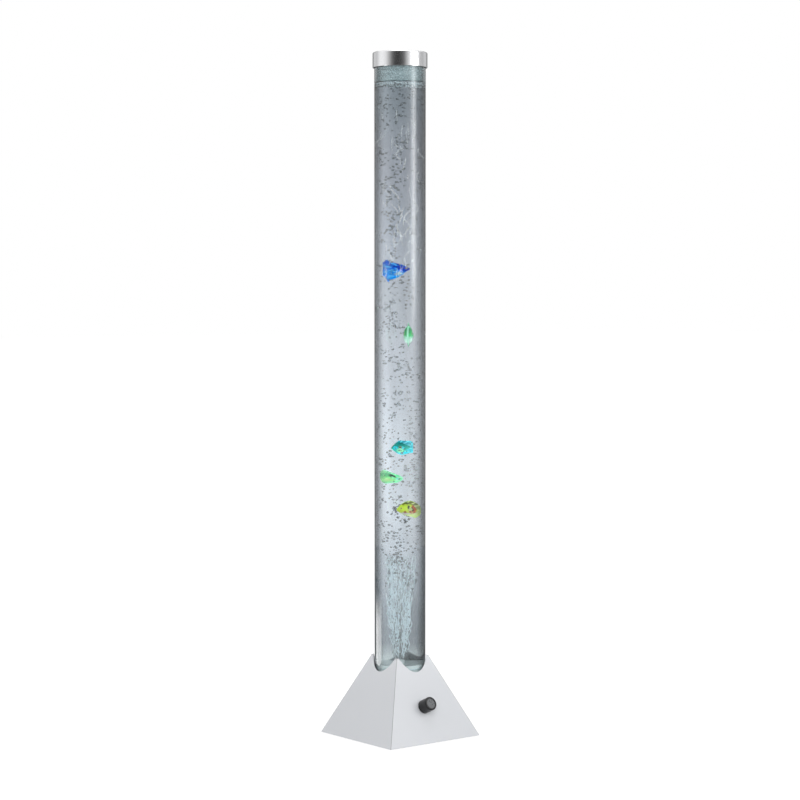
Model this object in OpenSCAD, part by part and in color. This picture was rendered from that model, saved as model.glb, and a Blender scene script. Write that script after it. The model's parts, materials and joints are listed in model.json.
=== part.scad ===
// Bubble tube floor lamp: a sheet-metal pyramid base with an air pump, a ring of lights
// and a dimmer knob, and a clear water-filled tube with a lift-off cap and floating fish.
// Millimetres, +Z up, origin on the floor under the tube's axis. The knob is on the -Y face.

/* [Overall] */
// Height from the floor to the top of the cap
total_h = 1200; // [950:10:1500]
// Side of the square base at its lower edge
base_w = 200; // [180:1:260]
// Height at which the four faces would meet, above the base's lower edge
apex_h = 219; // [200:1:262]

/* [Housing] */
// Thickness of the folded sheet
sheet_t = 1.2; // [0.8:0.1:2]
// Gap between the tube and the hole that it stands in
hole_gap = 2; // [1:0.1:3]
// Height of the blunt corner tips above the lowest point of the hole's edge
tip_rise = 25.4; // [15:0.1:27]
// Width of each folded lug that the base plate is screwed to
lug_w = 22; // [16:1:30]
// Reach of each lug from the wall
lug_reach = 14; // [12:1:20]
// Thickness of a lug
lug_t = 1.5; // [1:0.1:2.5]
// Distance from a lug's free edge to its screw
lug_screw_edge = 5.5; // [4.5:0.1:8]

/* [Base plate and feet] */
// Height of the housing's lower edge above the floor
foot_proud = 1.5; // [1:0.1:5]
// Step of the base plate above the housing's lower edge
plate_step = 1; // [0.5:0.1:2]
// Thickness of the base plate
plate_t = 1.5; // [1:0.1:3]
// Gap round the edge of the base plate
plate_gap = 0.4; // [0.2:0.1:1]
// Radius of each rubber foot
foot_r = 9; // [6:0.5:12]
// Distance of each foot's centre from the plate's edge
foot_inset = 15; // [13:1:30]
// Number of air slots in the plate
slot_count = 5; // [3:1:7]
// Length of an air slot
slot_len = 24; // [12:1:26]
// Width of an air slot
slot_w = 3; // [2:0.5:4]
// Spacing of the air slots
slot_pitch = 8; // [6:0.5:10]
// Distance of the air slots from the centre
slot_y = 57; // [50:1:62]

/* [Tube] */
// Outer diameter of the clear tube
tube_d = 90; // [74:1:92]
// Wall of the tube
tube_wall = 3; // [2:0.1:4]
// Depth from the top of the cap to the tube's upper end
tube_drop = 10; // [8:0.1:14]
// Depth from the top of the cap to the water's surface
water_drop = 53.5; // [40:0.5:90]
// Gap between the water solid and what holds it
water_gap = 0.3; // [0.2:0.05:0.5]

/* [Plug] */
// Height of the plug that shows above the lowest point of the hole's edge
plug_show = 11; // [6:0.5:16]
// Thickness of the clear plug that closes the tube
plug_t = 26; // [20:0.5:30]
// Gap between the plug and the tube
plug_gap = 0.3; // [0.2:0.05:0.5]
// Width of a seal ring's groove, and its depth from the tube's bore
seal_w = 2.6; // [2:0.1:3.5]
// Depth of the upper seal below the plug's top
seal_upper = 7; // [5:0.5:9]
// Spacing of the two seals
seal_pitch = 7; // [5:0.5:9]
// Radius of the air stone
stone_r = 6; // [4:0.5:9]
// Height of the air stone above the plug
stone_h = 7; // [4:0.5:10]
// Radius of the air stone's spigot in the plug
stone_spigot_r = 2.4; // [2:0.1:3]
// Depth of the air stone's spigot
stone_spigot_h = 10; // [6:0.5:12]

/* [Socket] */
// Height of the plug above the socket's floor
plug_lift = 12.6; // [10:0.1:16]
// Thickness of the socket's floor
socket_floor_t = 4; // [3:0.5:6]
// Height of the socket's rim above its floor
socket_rim_h = 16; // [10:0.5:18]
// Wall of the socket's rim
socket_rim_t = 3.7; // [2.5:0.1:4]
// Gap between the socket's rims and the tube
socket_gap = 0.3; // [0.2:0.05:0.5]
// Wall of the inner rim that the plug rests on
socket_inner_t = 4.4; // [3:0.1:6]
// Reach of the socket's square floor beyond its standoffs
socket_ear = 8; // [7:0.5:10]
// Corner radius of the socket's floor
socket_corner_r = 8; // [6:0.5:10]
// Room between a standoff's screw head and the socket's rim
post_room = 2.65; // [1:0.05:4]
// Distance across the flats of a standoff
post_flats = 7; // [6:0.5:8]

/* [Screws] */
// Radius of a frame screw's shank
screw_r = 1.95; // [1.5:0.05:2.2]
// Gap round a screw in its thread
thread_gap = 0.05; // [0.03:0.01:0.1]
// Gap round a screw in a plain hole
screw_gap = 0.3; // [0.2:0.05:0.5]
// Radius of a frame screw's head
head_r = 3.5; // [3:0.1:4.5]
// Height of a screw head
head_h = 1.8; // [1.2:0.1:2.2]
// Depth that a frame screw reaches into its standoff
screw_reach = 9; // [6:0.5:12]
// Radius of a small screw's shank
small_screw_r = 1.2; // [1:0.05:1.5]
// Radius of a small screw's head
small_head_r = 2.6; // [2:0.1:3]
// Height of a small screw's head
small_head_h = 1.4; // [1:0.1:1.8]

/* [Cap] */
// Wall of the cap's plastic liner
liner_t = 1.2; // [0.8:0.1:2]
// Visible height of the metal cap
cap_h = 26.5; // [16:0.5:36]
// Wall of the metal cap
cap_t = 1.4; // [0.8:0.1:1.8]
// Radius of the cap's rounded upper edge
cap_edge_r = 2.5; // [2:0.1:5]
// Gap between the metal cap and its liner
liner_gap = 0.1; // [0.05:0.01:0.2]
// Gap between the liner and the tube
liner_tube_gap = 0.3; // [0.2:0.05:0.5]
// Step of the liner above the metal cap's lower edge
liner_step = 1; // [0.5:0.1:3]
// Thickness of the liner's disc
liner_disc_t = 4; // [2:0.1:5]
// Thickness of the soft seal between the tube and the liner
cap_seal_t = 2; // [1:0.1:3]
// Radius of each vent hole in the liner
vent_r = 1.5; // [1:0.1:2]
// Distance of each vent hole from the tube's bore
vent_inset = 12; // [6:1:16]
// Number of vent holes
vent_count = 3; // [2:1:6]
// Width of each vent groove down the liner's side
vent_groove_w = 3; // [2:0.5:5]
// Depth of each vent groove
vent_groove_depth = 0.5; // [0.3:0.1:0.7]

/* [Lights] */
// Gap under the socket's floor that the light board hangs at
light_gap = 4; // [3:0.5:6]
// Thickness of a circuit board
board_t = 1.6; // [1:0.1:2]
// Distance of the light board's edge from its screws
light_board_edge = 3; // [2.7:0.1:4]
// Radius of the hole in the light board for the air hose
light_hole_r = 8; // [6:0.5:10]
// Distance of the light board's screws outside the socket's inner rim
light_screw_inset = 2.7; // [2.5:0.1:4]
// Radius of a light board spacer
spacer_r = 2.6; // [2.2:0.1:3]
// Depth of a light board screw in the socket
light_screw_reach = 3; // [2:0.1:3.5]
// Number of lights in the ring
light_count = 12; // [6:1:18]
// Distance of the lights from the axis
light_ring_r = 24; // [16:0.5:30]
// Radius of a light
light_r = 2.5; // [1.5:0.1:3]
// Height of a light below its dome
light_body_h = 5; // [3:0.5:7]
// Height of the rim round a light's foot
light_rim_h = 1; // [0.5:0.1:1.5]
// Overhang of the rim round a light's foot
light_rim = 0.4; // [0.2:0.1:0.6]

/* [Pump] */
// Height of the rubber mounts under the pump
mount_h = 4; // [3:0.5:8]
// Radius of a rubber mount
mount_r = 4; // [3:0.5:5]
// Room inside the pump's shell beyond the arm's eye
case_room_left = 4.5; // [4:0.5:8]
// Room inside the pump's shell beyond the iron core
case_room_right = 9; // [8:0.5:12]
// Room inside the pump's shell in front of the iron core
case_room_front = 1.5; // [1:0.5:4]
// Room inside the pump's shell behind the valve block
case_room_back = 4; // [3:0.5:6]
// Wall of the pump's shell
case_t = 2; // [1.5:0.1:2.5]
// Corner radius of the pump's shell
case_corner_r = 5; // [4:0.5:6]
// Thickness of the pump's cover
cover_t = 2.5; // [2:0.1:4]
// Depth of the cover's lip inside the shell
cover_lip_h = 2; // [1.5:0.5:3]
// Thickness of the cover's lip
cover_lip_t = 1.5; // [1:0.1:2]
// Gap between the cover's lip and the shell
cover_gap = 0.3; // [0.2:0.05:0.5]
// Distance of each screw boss from the shell's outer walls
boss_inset = 5.5; // [5:0.1:6]
// Radius of a screw boss
boss_r = 3.5; // [3:0.1:3.7]
// Height of the arm's middle above the shell's floor
arm_mid_h = 15; // [13:0.5:17]
// Distance of the arm's pivot from the tube's axis
pivot_x = 38; // [37:0.5:39]
// Distance of the arm's middle plane from the tube's axis
arm_y = 10.5; // [10:0.1:11]
// Radius of the arm's pivot pin
pivot_r = 1.5; // [1.2:0.1:2]
// Running gap between the pin and the arm
pivot_gap = 0.05; // [0.02:0.01:0.1]
// Radius of the arm's eye
eye_r = 3.5; // [3:0.1:4]
// Thickness of the arm
arm_t = 3; // [2:0.1:4]
// Height of the arm
arm_h = 8; // [6:0.5:10]
// Height of the arm's eye
eye_h = 12; // [10:0.5:14]
// Distance of the arm's tip beyond the tube's axis
arm_tip = 8; // [7:0.5:10]
// Length, width and height of the magnet
magnet_size = [5, 9, 10]; // [4:0.5:12]
// Air gap between the magnet and the iron core
air_gap = 2; // [1.5:0.1:3]
// Length of the iron core
core_len = 26; // [24:0.5:28]
// Width of the iron core
core_w = 28; // [27:0.5:30]
// Height of the iron core
core_h = 12; // [10:0.5:14]
// Width of the core's outer legs and depth of its back
core_leg = 5; // [4:0.1:5.5]
// Width of the core's middle leg
core_mid = 7; // [6:0.1:8]
// Thickness of the winding round the middle leg
coil_t = 4; // [3:0.1:4.5]
// Gap between the winding and the core
coil_gap = 0.2; // [0.1:0.05:0.3]
// Radius of the diaphragm
diaphragm_r = 9; // [7:0.5:10]
// Depth of the diaphragm between the arm and the valve block
diaphragm_t = 6; // [5:0.5:7]
// Distance of the diaphragm's centre to the left of the tube's axis
diaphragm_x = 4; // [3:0.5:5]
// Width, depth and height of the valve block
valve_size = [24, 15, 22]; // [14:0.5:26]
// Outer diameter of the air hose
hose_od = 7; // [6:0.1:8]
// Bore of the air hose
hose_id = 4.2; // [3.6:0.1:5]
// Gap between a hose and the spigot that it is pushed on
spigot_gap = 0.1; // [0.05:0.01:0.15]
// Bore of a spigot
spigot_bore_r = 1.1; // [0.8:0.1:1.4]
// Length of a spigot that a hose is pushed on
spigot_h = 7; // [5:0.5:9]
// Free length between two spigots in a hose
hose_free = 2; // [1:0.5:4]
// Radius of the check valve
check_r = 8; // [6:0.5:9]
// Height of the check valve's body
check_h = 10; // [8:0.5:14]

/* [Control board] */
// Width of the control board
board_w = 60; // [50:1:62]
// Depth of the control board
board_d = 28; // [24:1:30]
// Room between the board and the standoffs of the socket
board_room = 1; // [0.5:0.5:3]
// Height of the board's standoffs
board_lift = 5; // [4:0.5:8]
// Distance of each board screw from the board's edges
board_inset = 4; // [3:0.1:5]
// Height of the wire connectors
connector_h = 8; // [6:0.5:10]
// Side of each wire connector
connector_w = 7; // [6:0.5:8]
// Radius of the capacitor
capacitor_r = 4; // [3:0.5:5]
// Height of the capacitor
capacitor_h = 12; // [8:0.5:14]
// Radius of an insulated wire
wire_r = 1.2; // [0.8:0.1:1.5]
// Gap between a wire and what it passes or ends at
wire_gap = 0.3; // [0.2:0.05:0.5]

/* [Knob and dimmer] */
// Distance of the knob to the left of the face's middle
knob_x = 5.5; // [0:0.5:20]
// Height of the knob on the face, above the base's lower edge
knob_up = 59; // [50:1:64]
// Radius of the knob's skirt
knob_r = 12.2; // [9:0.1:14]
// Radius of the knob's grip
knob_grip_r = 12; // [8.5:0.1:13.5]
// Length of the knob
knob_len = 21.5; // [18:0.5:26]
// Length of the knob's skirt
knob_skirt = 9; // [6:0.5:12]
// Radius of the rounding round the knob's front
knob_round = 2; // [1:0.1:3]
// Gap between the knob and the housing
knob_gap = 1; // [0.5:0.1:2]
// Rim left round the disc that is let into the knob's front
insert_rim = 1.4; // [0.6:0.1:3]
// Thickness of the disc let into the knob's front
insert_t = 1; // [0.6:0.1:1.5]
// Depth of the disc below the knob's front
insert_sink = 0.6; // [0.2:0.1:1]
// Room round the dimmer's nut in the hollow of the knob's back
nut_room = 1.15; // [0.8:0.05:1.5]
// Depth of the hollow in the knob's back
knob_hollow = 7; // [6:0.5:9]
// Length of the shaft that the knob grips
shaft_grip = 12; // [8:0.5:14]
// Radius of the dimmer's shaft
shaft_r = 3; // [2:0.1:3.2]
// Gap between the shaft and the knob
shaft_knob_gap = 0.03; // [0.02:0.01:0.05]
// Running gap between the shaft and its bushing
shaft_gap = 0.05; // [0.02:0.01:0.1]
// Radius of the dimmer's threaded bushing
bushing_r = 4; // [3.6:0.1:4.2]
// Length of the bushing outside the housing
bushing_out = 4.5; // [3:0.1:5]
// Least wall of the dimmer's and the inlet's nuts
nut_wall = 1.5; // [1.2:0.1:2]
// Thickness of the dimmer's nut
nut_t = 2; // [1.5:0.1:2.5]
// Radius of the dimmer's round can
can_r = 8.5; // [7:0.5:10]
// Depth of the dimmer's round can
can_h = 9; // [7:0.5:11]
// Depth of the shaft inside the can
shaft_in = 6; // [4:0.5:7]

/* [Power inlet] */
// Height of the power inlet on the back face, above the base's lower edge
inlet_up = 24; // [20:0.5:30]
// Radius of the inlet's barrel
inlet_r = 5.5; // [5:0.1:6]
// Overhang of the inlet's flange round its barrel
inlet_flange = 1.5; // [1:0.1:2.5]
// Thickness of the inlet's flange
inlet_flange_t = 2; // [1.5:0.1:3]
// Length of the barrel behind the flange
inlet_len = 12; // [11:0.5:15]
// Radius of the socket's hole
inlet_hole_r = 3.15; // [3:0.05:3.3]
// Depth of the socket's hole
inlet_depth = 9.5; // [9:0.1:11]
// Radius of the centre contact
contact_r = 1.05; // [0.95:0.05:1.25]
// Depth of the contact's tip inside the hole
contact_sink = 0.5; // [0.3:0.1:1]
// Radius of the contact's root inside the barrel
contact_root_r = 1.6; // [1.4:0.1:2]
// Length of the contact behind the barrel, where its wire is soldered
contact_tail = 3; // [2:0.5:4]
// Thickness of the inlet's nut
inlet_nut_t = 2.5; // [2:0.1:3]
// Gap round the inlet's barrel in the housing
inlet_gap = 0.2; // [0.1:0.05:0.3]

/* [Fish] */
// Turn of the fish lanes about the tube's axis, in degrees
fish_turn = -38.7; // [-180:0.1:180]
// Spacing of the front, middle and back lanes that the fish rise and sink in
lane_pitch = 14; // [13.5:0.1:15]
// Thickness of a fish
fish_t = 11; // [8:0.5:12]
// Thickness of a fin
fin_t = 2; // [1:0.1:3]
// Length of a tail fin
tail_len = 9; // [6:0.5:10]
// Gap between a fish and the water round it
fish_gap = 0.3; // [0.2:0.05:0.5]
// Height of the blue fish's middle above the floor
blue_z = 820; // [815:1:830]
// Length of the blue fish
blue_len = 37; // [30:0.5:38]
// Height of the blue fish across its fins
blue_tall = 40; // [30:0.5:42]
// Height of the blue fish's body
blue_body = 24; // [18:0.5:27]
// Distance from the blue fish to the tube's left wall
blue_wall_gap = 18; // [10:0.5:24]
// Height of the small green fish's middle above the floor
small_green_z = 708; // [690:1:715]
// Length of the small green fish
small_green_len = 32; // [26:0.5:34]
// Height of the small green fish across its fins
small_green_tall = 42; // [30:0.5:44]
// Height of the small green fish's body
small_green_body = 22; // [18:0.5:23]
// Distance from the small green fish to the tube's right wall
small_green_wall_gap = 22; // [14:0.5:26]
// Height of the turquoise fish's middle above the floor
turquoise_z = 510; // [495:1:525]
// Length of the turquoise fish
turquoise_len = 29; // [24:0.5:34]
// Height of the turquoise fish across its fins
turquoise_tall = 26; // [20:0.5:30]
// Height of the turquoise fish's body
turquoise_body = 18; // [14:0.5:20]
// Distance from the turquoise fish to the tube's right wall
turquoise_wall_gap = 24; // [14:0.5:28]
// Height of the pale green fish's middle above the floor
pale_green_z = 458; // [445:1:470]
// Length of the pale green fish
pale_green_len = 27; // [24:0.5:32]
// Height of the pale green fish across its fins
pale_green_tall = 25; // [20:0.5:30]
// Height of the pale green fish's body
pale_green_body = 16; // [12:0.5:18]
// Distance from the pale green fish to the tube's left wall
pale_green_wall_gap = 14; // [8:0.5:18]
// Height of the lime fish's middle above the floor
lime_z = 402; // [390:1:415]
// Length of the lime fish
lime_len = 38; // [30:0.5:40]
// Height of the lime fish across its fins
lime_tall = 32; // [24:0.5:36]
// Height of the lime fish's body
lime_body = 20; // [16:0.5:22]
// Distance from the lime fish to the tube's right wall
lime_wall_gap = 4; // [3:0.5:10]

/* [Hidden] */
$fn = 96;
// Overlap that makes a cut pass right through
eps = 0.5;
// Sides of a hexagonal nut or standoff
hex = 6;
// Sides of a wire
wire_sides = 16;

// Housing
half_w = base_w / 2;
face_tilt = atan(half_w / apex_h);
wall_in = sheet_t / cos(face_tilt);
apex_z = foot_proud + apex_h;
hole_r = tube_d / 2 + hole_gap;
arch_low_z = foot_proud + apex_h * (1 - hole_r / half_w);
tip_z = arch_low_z + tip_rise;

// Base plate
plate_z = foot_proud + plate_step;
plate_top = plate_z + plate_t;
plate_half = inner_half(plate_top) - plate_gap;
lug_edge = inner_half(plate_top) - lug_reach;
lug_screw = lug_edge + lug_screw_edge;
foot_xy = plate_half - foot_inset;

// Tube, plug and socket
tube_r = tube_d / 2;
bore_r = tube_r - tube_wall;
tube_top = total_h - tube_drop;
water_top = total_h - water_drop;
plug_top = arch_low_z + plug_show;
plug_z = plug_top - plug_t;
plug_r = bore_r - plug_gap;
tube_z = plug_z - plug_lift;
socket_z = tube_z - socket_floor_t;
socket_r = tube_r + socket_gap + socket_rim_t;
socket_inner_r = bore_r - socket_gap;
post_h = socket_z - plate_top;
post_xy = (socket_r + post_room + head_r) / sqrt(2);
socket_half = post_xy + socket_ear;

// Cap
cap_z = total_h - cap_h;
liner_bore = tube_r + liner_tube_gap;
liner_r = liner_bore + liner_t;
cap_r = liner_r + liner_gap + cap_t;
vent_ring_r = bore_r - vent_inset;
liner_disc_z = tube_top + cap_seal_t;
seal_in_r = bore_r + cap_t / 2;

// Light board
light_board_z = socket_z - light_gap - board_t;
light_screw_ring = socket_inner_r - socket_inner_t + light_screw_inset;
light_board_r = light_screw_ring + light_board_edge;

// Pump
case_z = plate_top + mount_h;
case_floor = case_z + case_t;
arm_z = case_floor + arm_mid_h;
core_x = arm_tip + magnet_size[0] + air_gap;
valve_y = -arm_y + arm_t / 2 + diaphragm_t;
valve_z = arm_z - valve_size[2] / 2;
coil_wire_z = arm_z + core_h / 2 + coil_gap + coil_t + wire_gap + wire_r;
case_top = coil_wire_z + wire_r + wire_gap + cover_lip_h;
case_h = case_top - case_z;
case_left = pivot_x + eye_r + case_room_left + case_t;
case_right = core_x + core_len + case_room_right + case_t;
case_front = arm_y + core_w / 2 + case_room_front + case_t;
case_back = valve_y + valve_size[1] + case_room_back + case_t;
case_mid = [(case_right - case_left) / 2, (case_back - case_front) / 2];
case_size = [case_left + case_right, case_front + case_back];
window_w = (core_w - 2 * core_leg - core_mid) / 2;
coil_len = core_len - core_leg - 2 * coil_gap;
outlet_top = case_top + cover_t + spigot_h;
spigot_r = hose_id / 2 - spigot_gap;
check_z = outlet_top + hose_free + spigot_h;
check_top = check_z + check_h;
pipe_bottom = check_top + spigot_h + hose_free;
boss_places = [for (x = [boss_inset - case_left, case_right - boss_inset],
    y = [boss_inset - case_front, case_back - boss_inset]) [x, y]];

// Control board
board_z = plate_top + board_lift;
board_front = post_xy + post_flats / sqrt(3) + board_room;
board_top = board_z + board_t;
board_back = board_front + board_d;
connector_y = board_front + board_d / 2;
connector_top = board_top + connector_h;
connector_xs = [-20, -knob_x, 6, 20];
board_holes = [for (x = [-1, 1], y = [board_front + board_inset, board_back - board_inset])
    [x * (board_w / 2 - board_inset), y]];

// Knob and dimmer
nut_flats = 2 * (bushing_r + nut_wall);
knob_hollow_r = nut_flats / sqrt(3) + nut_room;
insert_r = knob_grip_r - knob_round - insert_rim;

// Power inlet
inlet_nut_flats = 2 * (inlet_r + nut_wall);
inlet_floor = inlet_flange_t - inlet_depth;

// Fish: half the width of the bore at the far side of a lane
function chord(lane) = sqrt(pow(bore_r, 2) - pow(abs(lane) + fish_t / 2, 2));
blue_x = blue_wall_gap + blue_len / 2 - chord(0);
small_green_x = sqrt(pow(bore_r, 2) - pow(small_green_len / 2, 2)) - small_green_wall_gap - fish_t / 2;
turquoise_x = chord(0) - turquoise_wall_gap - turquoise_len / 2;
pale_green_x = pale_green_wall_gap + pale_green_len / 2 - chord(lane_pitch);
lime_x = chord(lane_pitch) - lime_wall_gap - lime_len / 2;

// Half the inner width of the housing at a height
function inner_half(z) = half_w * (apex_z - z) / apex_h - wall_in;

// A solid pyramid whose faces lie a distance inside the housing's outer faces
module pyramid(inside, z_low, z_high) {
    low = half_w * (apex_z - z_low) / apex_h - inside;
    high = half_w * (apex_z - z_high) / apex_h - inside;
    profile = [[-low, z_low], [low, z_low], [high, z_high], [-high, z_high]];
    intersection() {
        rotate([90, 0, 0])
            linear_extrude(2 * low, center = true)
                polygon(profile);
        rotate([90, 0, 90])
            linear_extrude(2 * low, center = true)
                polygon(profile);
    }
}

// Places children on the front face, with +Z straight out of it
module on_front(x, up) {
    translate([x, -half_w * (1 - up / apex_h), foot_proud + up])
        rotate([90 - face_tilt, 0, 0])
            children();
}

// Places children on the back face, with +Z straight out of it
module on_back(up) {
    rotate([0, 0, 180])
        on_front(0, up)
            children();
}

// A tube standing on the plane z = 0
module pipe(outer, inner, h) {
    difference() {
        cylinder(r = outer, h = h);
        translate([0, 0, -eps])
            cylinder(r = inner, h = h + 2 * eps);
    }
}

// A hexagonal bar with a round hole, standing on the plane z = 0
module hex_bar(flats, hole, h) {
    difference() {
        cylinder(r = flats / sqrt(3), h = h, $fn = hex);
        translate([0, 0, -eps])
            cylinder(r = hole, h = h + 2 * eps);
    }
}

// A pan-head screw whose head sits on z = 0 and whose shank points down
module screw(shank, head, head_height, reach) {
    rotate_extrude()
        polygon([[0, -reach], [shank, -reach], [shank, 0], [head, 0],
            [head, head_height * 0.6], [head * 0.75, head_height], [0, head_height]]);
}

// A rectangle with round corners, flat on z = 0
module round_rect(size, r) {
    square([size[0] - 2 * r, size[1]], center = true);
    square([size[0], size[1] - 2 * r], center = true);
    for (x = [-1, 1], y = [-1, 1])
        translate([x * (size[0] / 2 - r), y * (size[1] / 2 - r)])
            circle(r);
}

// Puts a copy at each corner of a square about the axis
module at_corners(xy) {
    for (x = [-xy, xy], y = [-xy, xy])
        translate([x, y, 0])
            children();
}

// Puts a copy at each of a ring's equal steps
module around(count) {
    for (i = [0:count - 1])
        rotate([0, 0, 360 * i / count])
            children();
}

// A wire through a list of points
module wire(points) {
    for (i = [1:len(points) - 1])
        hull() {
            translate(points[i - 1])
                sphere(wire_r, $fn = wire_sides);
            translate(points[i])
                sphere(wire_r, $fn = wire_sides);
        }
}

// A shape with two pointed ends, bounded by two arcs
module lens(length, width) {
    r = (pow(length, 2) + pow(width, 2)) / (4 * width);
    intersection() {
        translate([0, r - width / 2])
            circle(r);
        translate([0, width / 2 - r])
            circle(r);
    }
}

// A fish with its nose to -X, grown on every side by a gap
module fish_shape(length, body_tall, fin_tall, gap = 0) {
    body = length + 2 * gap - tail_len;
    tall = body_tall + 2 * gap;
    thick = fish_t + 2 * gap;
    fin = fin_t + 2 * gap;
    end_x = body / 2 + eps;
    tail_x = length / 2 + gap;
    root_x = tail_x - 2 * tail_len;
    root = body_tall / 6 + gap;
    tip = body_tall / 2 + gap;
    fin_x = body / 4 + gap;
    fin_z = fin_tall / 2 + gap;
    translate([-tail_len / 2, 0, 0]) {
        intersection() {
            rotate([90, 0, 0])
                linear_extrude(thick, center = true)
                    lens(body, tall);
            linear_extrude(tall, center = true)
                polygon([[-end_x, -fin / 2], [-body / 4, -thick / 2], [body / 4, -thick / 2],
                    [end_x, -fin / 2], [end_x, fin / 2], [body / 4, thick / 2],
                    [-body / 4, thick / 2], [-end_x, fin / 2]]);
        }
        rotate([90, 0, 0])
            linear_extrude(fin, center = true)
                polygon([[-fin_x, 0], [0, fin_z], [fin_x, fin_z], [fin_x, -fin_z], [0, -fin_z]]);
    }
    rotate([90, 0, 0])
        linear_extrude(fin, center = true)
            polygon([[root_x, -root], [tail_x, -tip], [tail_x, tip], [root_x, root]]);
}

// Places a fish in its lane of the tube, where -Y is the front lane
module in_lane(x, lane, z) {
    rotate([0, 0, fish_turn])
        translate([x, lane, z])
            children();
}

module blue_place(gap = 0) {
    in_lane(blue_x, 0, blue_z)
        rotate([0, 0, 180])
            fish_shape(blue_len, blue_body, blue_tall, gap);
}

module small_green_place(gap = 0) {
    in_lane(small_green_x, 0, small_green_z)
        rotate([0, 0, 90])
            fish_shape(small_green_len, small_green_body, small_green_tall, gap);
}

module turquoise_place(gap = 0) {
    in_lane(turquoise_x, 0, turquoise_z)
        fish_shape(turquoise_len, turquoise_body, turquoise_tall, gap);
}

module pale_green_place(gap = 0) {
    in_lane(pale_green_x, lane_pitch, pale_green_z)
        fish_shape(pale_green_len, pale_green_body, pale_green_tall, gap);
}

module lime_place(gap = 0) {
    in_lane(lime_x, -lane_pitch, lime_z)
        fish_shape(lime_len, lime_body, lime_tall, gap);
}

// Folded and welded pyramid shell with lugs for the base plate
module base_housing() {
    color([0.84, 0.85, 0.87])
        difference() {
            union() {
                difference() {
                    pyramid(0, foot_proud, tip_z);
                    pyramid(wall_in, foot_proud - eps, tip_z + eps);
                }
                intersection() {
                    pyramid(wall_in / 2, plate_top, plate_top + lug_t);
                    around(4)
                        translate([lug_edge, -lug_w / 2, plate_top])
                            cube([half_w, lug_w, lug_t]);
                }
            }
            translate([0, 0, tube_z])
                cylinder(r = hole_r, h = apex_h);
            around(4)
                translate([lug_screw, 0, plate_z])
                    cylinder(r = small_screw_r + thread_gap, h = plate_t + 2 * lug_t);
            on_front(-knob_x, knob_up)
                cylinder(r = bushing_r + screw_gap, h = 6 * sheet_t, center = true);
            on_back(inlet_up)
                cylinder(r = inlet_r + inlet_gap, h = 6 * sheet_t, center = true);
        }
}

// Flat plate that closes the base from below
module base_plate() {
    color("silver")
        difference() {
            translate([-plate_half, -plate_half, plate_z])
                cube([2 * plate_half, 2 * plate_half, plate_t]);
            around(4)
                translate([lug_screw, 0, plate_z - eps])
                    cylinder(r = small_screw_r + screw_gap, h = plate_t + 2 * eps);
            at_corners(post_xy)
                translate([0, 0, plate_z - eps])
                    cylinder(r = screw_r + screw_gap, h = plate_t + 2 * eps);
            for (i = [0:slot_count - 1])
                translate([(i - (slot_count - 1) / 2) * slot_pitch, -slot_y, plate_z - eps])
                    linear_extrude(plate_t + 2 * eps)
                        round_rect([slot_w, slot_len], slot_w / 2 - eps / 10);
        }
}

// Screws that hold the plate to the housing's lugs
module plate_screws() {
    color("gainsboro")
        around(4)
            translate([lug_screw, 0, plate_z])
                mirror([0, 0, 1])
                    screw(small_screw_r, small_head_r, small_head_h, plate_t + lug_t);
}

// Rubber feet under the plate's corners
module rubber_feet() {
    color([0.08, 0.08, 0.08])
        at_corners(foot_xy)
            rotate_extrude()
                polygon([[0, 0], [foot_r - 1, 0], [foot_r, 1], [foot_r, plate_z], [0, plate_z]]);
}

// Hexagonal standoffs that carry the socket
module frame_standoffs() {
    color("goldenrod")
        at_corners(post_xy)
            translate([0, 0, plate_top])
                hex_bar(post_flats, screw_r + thread_gap, post_h);
}

module lower_frame_screws() {
    color("gainsboro")
        at_corners(post_xy)
            translate([0, 0, plate_z])
                mirror([0, 0, 1])
                    screw(screw_r, head_r, head_h, plate_t + screw_reach);
}

module upper_frame_screws() {
    color("gainsboro")
        at_corners(post_xy)
            translate([0, 0, tube_z])
                screw(screw_r, head_r, head_h, socket_floor_t + screw_reach);
}

// Moulded socket that the tube stands in and the plug rests on
module tube_socket() {
    color([0.93, 0.93, 0.92])
        difference() {
            union() {
                translate([0, 0, socket_z])
                    linear_extrude(socket_floor_t)
                        round_rect([2 * socket_half, 2 * socket_half], socket_corner_r);
                translate([0, 0, socket_z])
                    cylinder(r = socket_r, h = socket_floor_t + socket_rim_h);
            }
            translate([0, 0, tube_z])
                pipe(tube_r + socket_gap, socket_inner_r, socket_rim_h + eps);
            translate([0, 0, plug_z])
                cylinder(r = socket_inner_r + eps, h = socket_rim_h);
            translate([0, 0, socket_z - eps])
                cylinder(r = socket_inner_r - socket_inner_t, h = socket_rim_h + 2 * socket_floor_t);
            at_corners(post_xy)
                translate([0, 0, socket_z - eps])
                    cylinder(r = screw_r + screw_gap, h = socket_floor_t + 2 * eps);
            around(4)
                translate([light_screw_ring, 0, socket_z - eps])
                    cylinder(r = small_screw_r + thread_gap, h = light_screw_reach + 2 * eps);
        }
}

// Clear tube
module tube() {
    color([0.8, 0.88, 0.9, 0.35])
        translate([0, 0, tube_z])
            pipe(tube_r, bore_r, tube_top - tube_z);
}

// Clear plug with two seal grooves and the air channel
module tube_plug() {
    color([0.6, 0.8, 0.82, 0.6])
        difference() {
            translate([0, 0, plug_z])
                cylinder(r = plug_r, h = plug_t);
            for (i = [0, 1])
                translate([0, 0, plug_top - seal_upper - seal_w / 2 - i * seal_pitch])
                    pipe(plug_r + eps, bore_r - seal_w, seal_w);
            translate([0, 0, plug_z - eps])
                cylinder(r = spigot_bore_r, h = plug_t + 2 * eps);
            translate([0, 0, plug_top - stone_spigot_h])
                cylinder(r = stone_spigot_r + thread_gap, h = stone_spigot_h + eps);
            translate([0, 0, plug_z - eps])
                cylinder(r = spigot_r + thread_gap, h = spigot_h + eps);
        }
}

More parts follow.
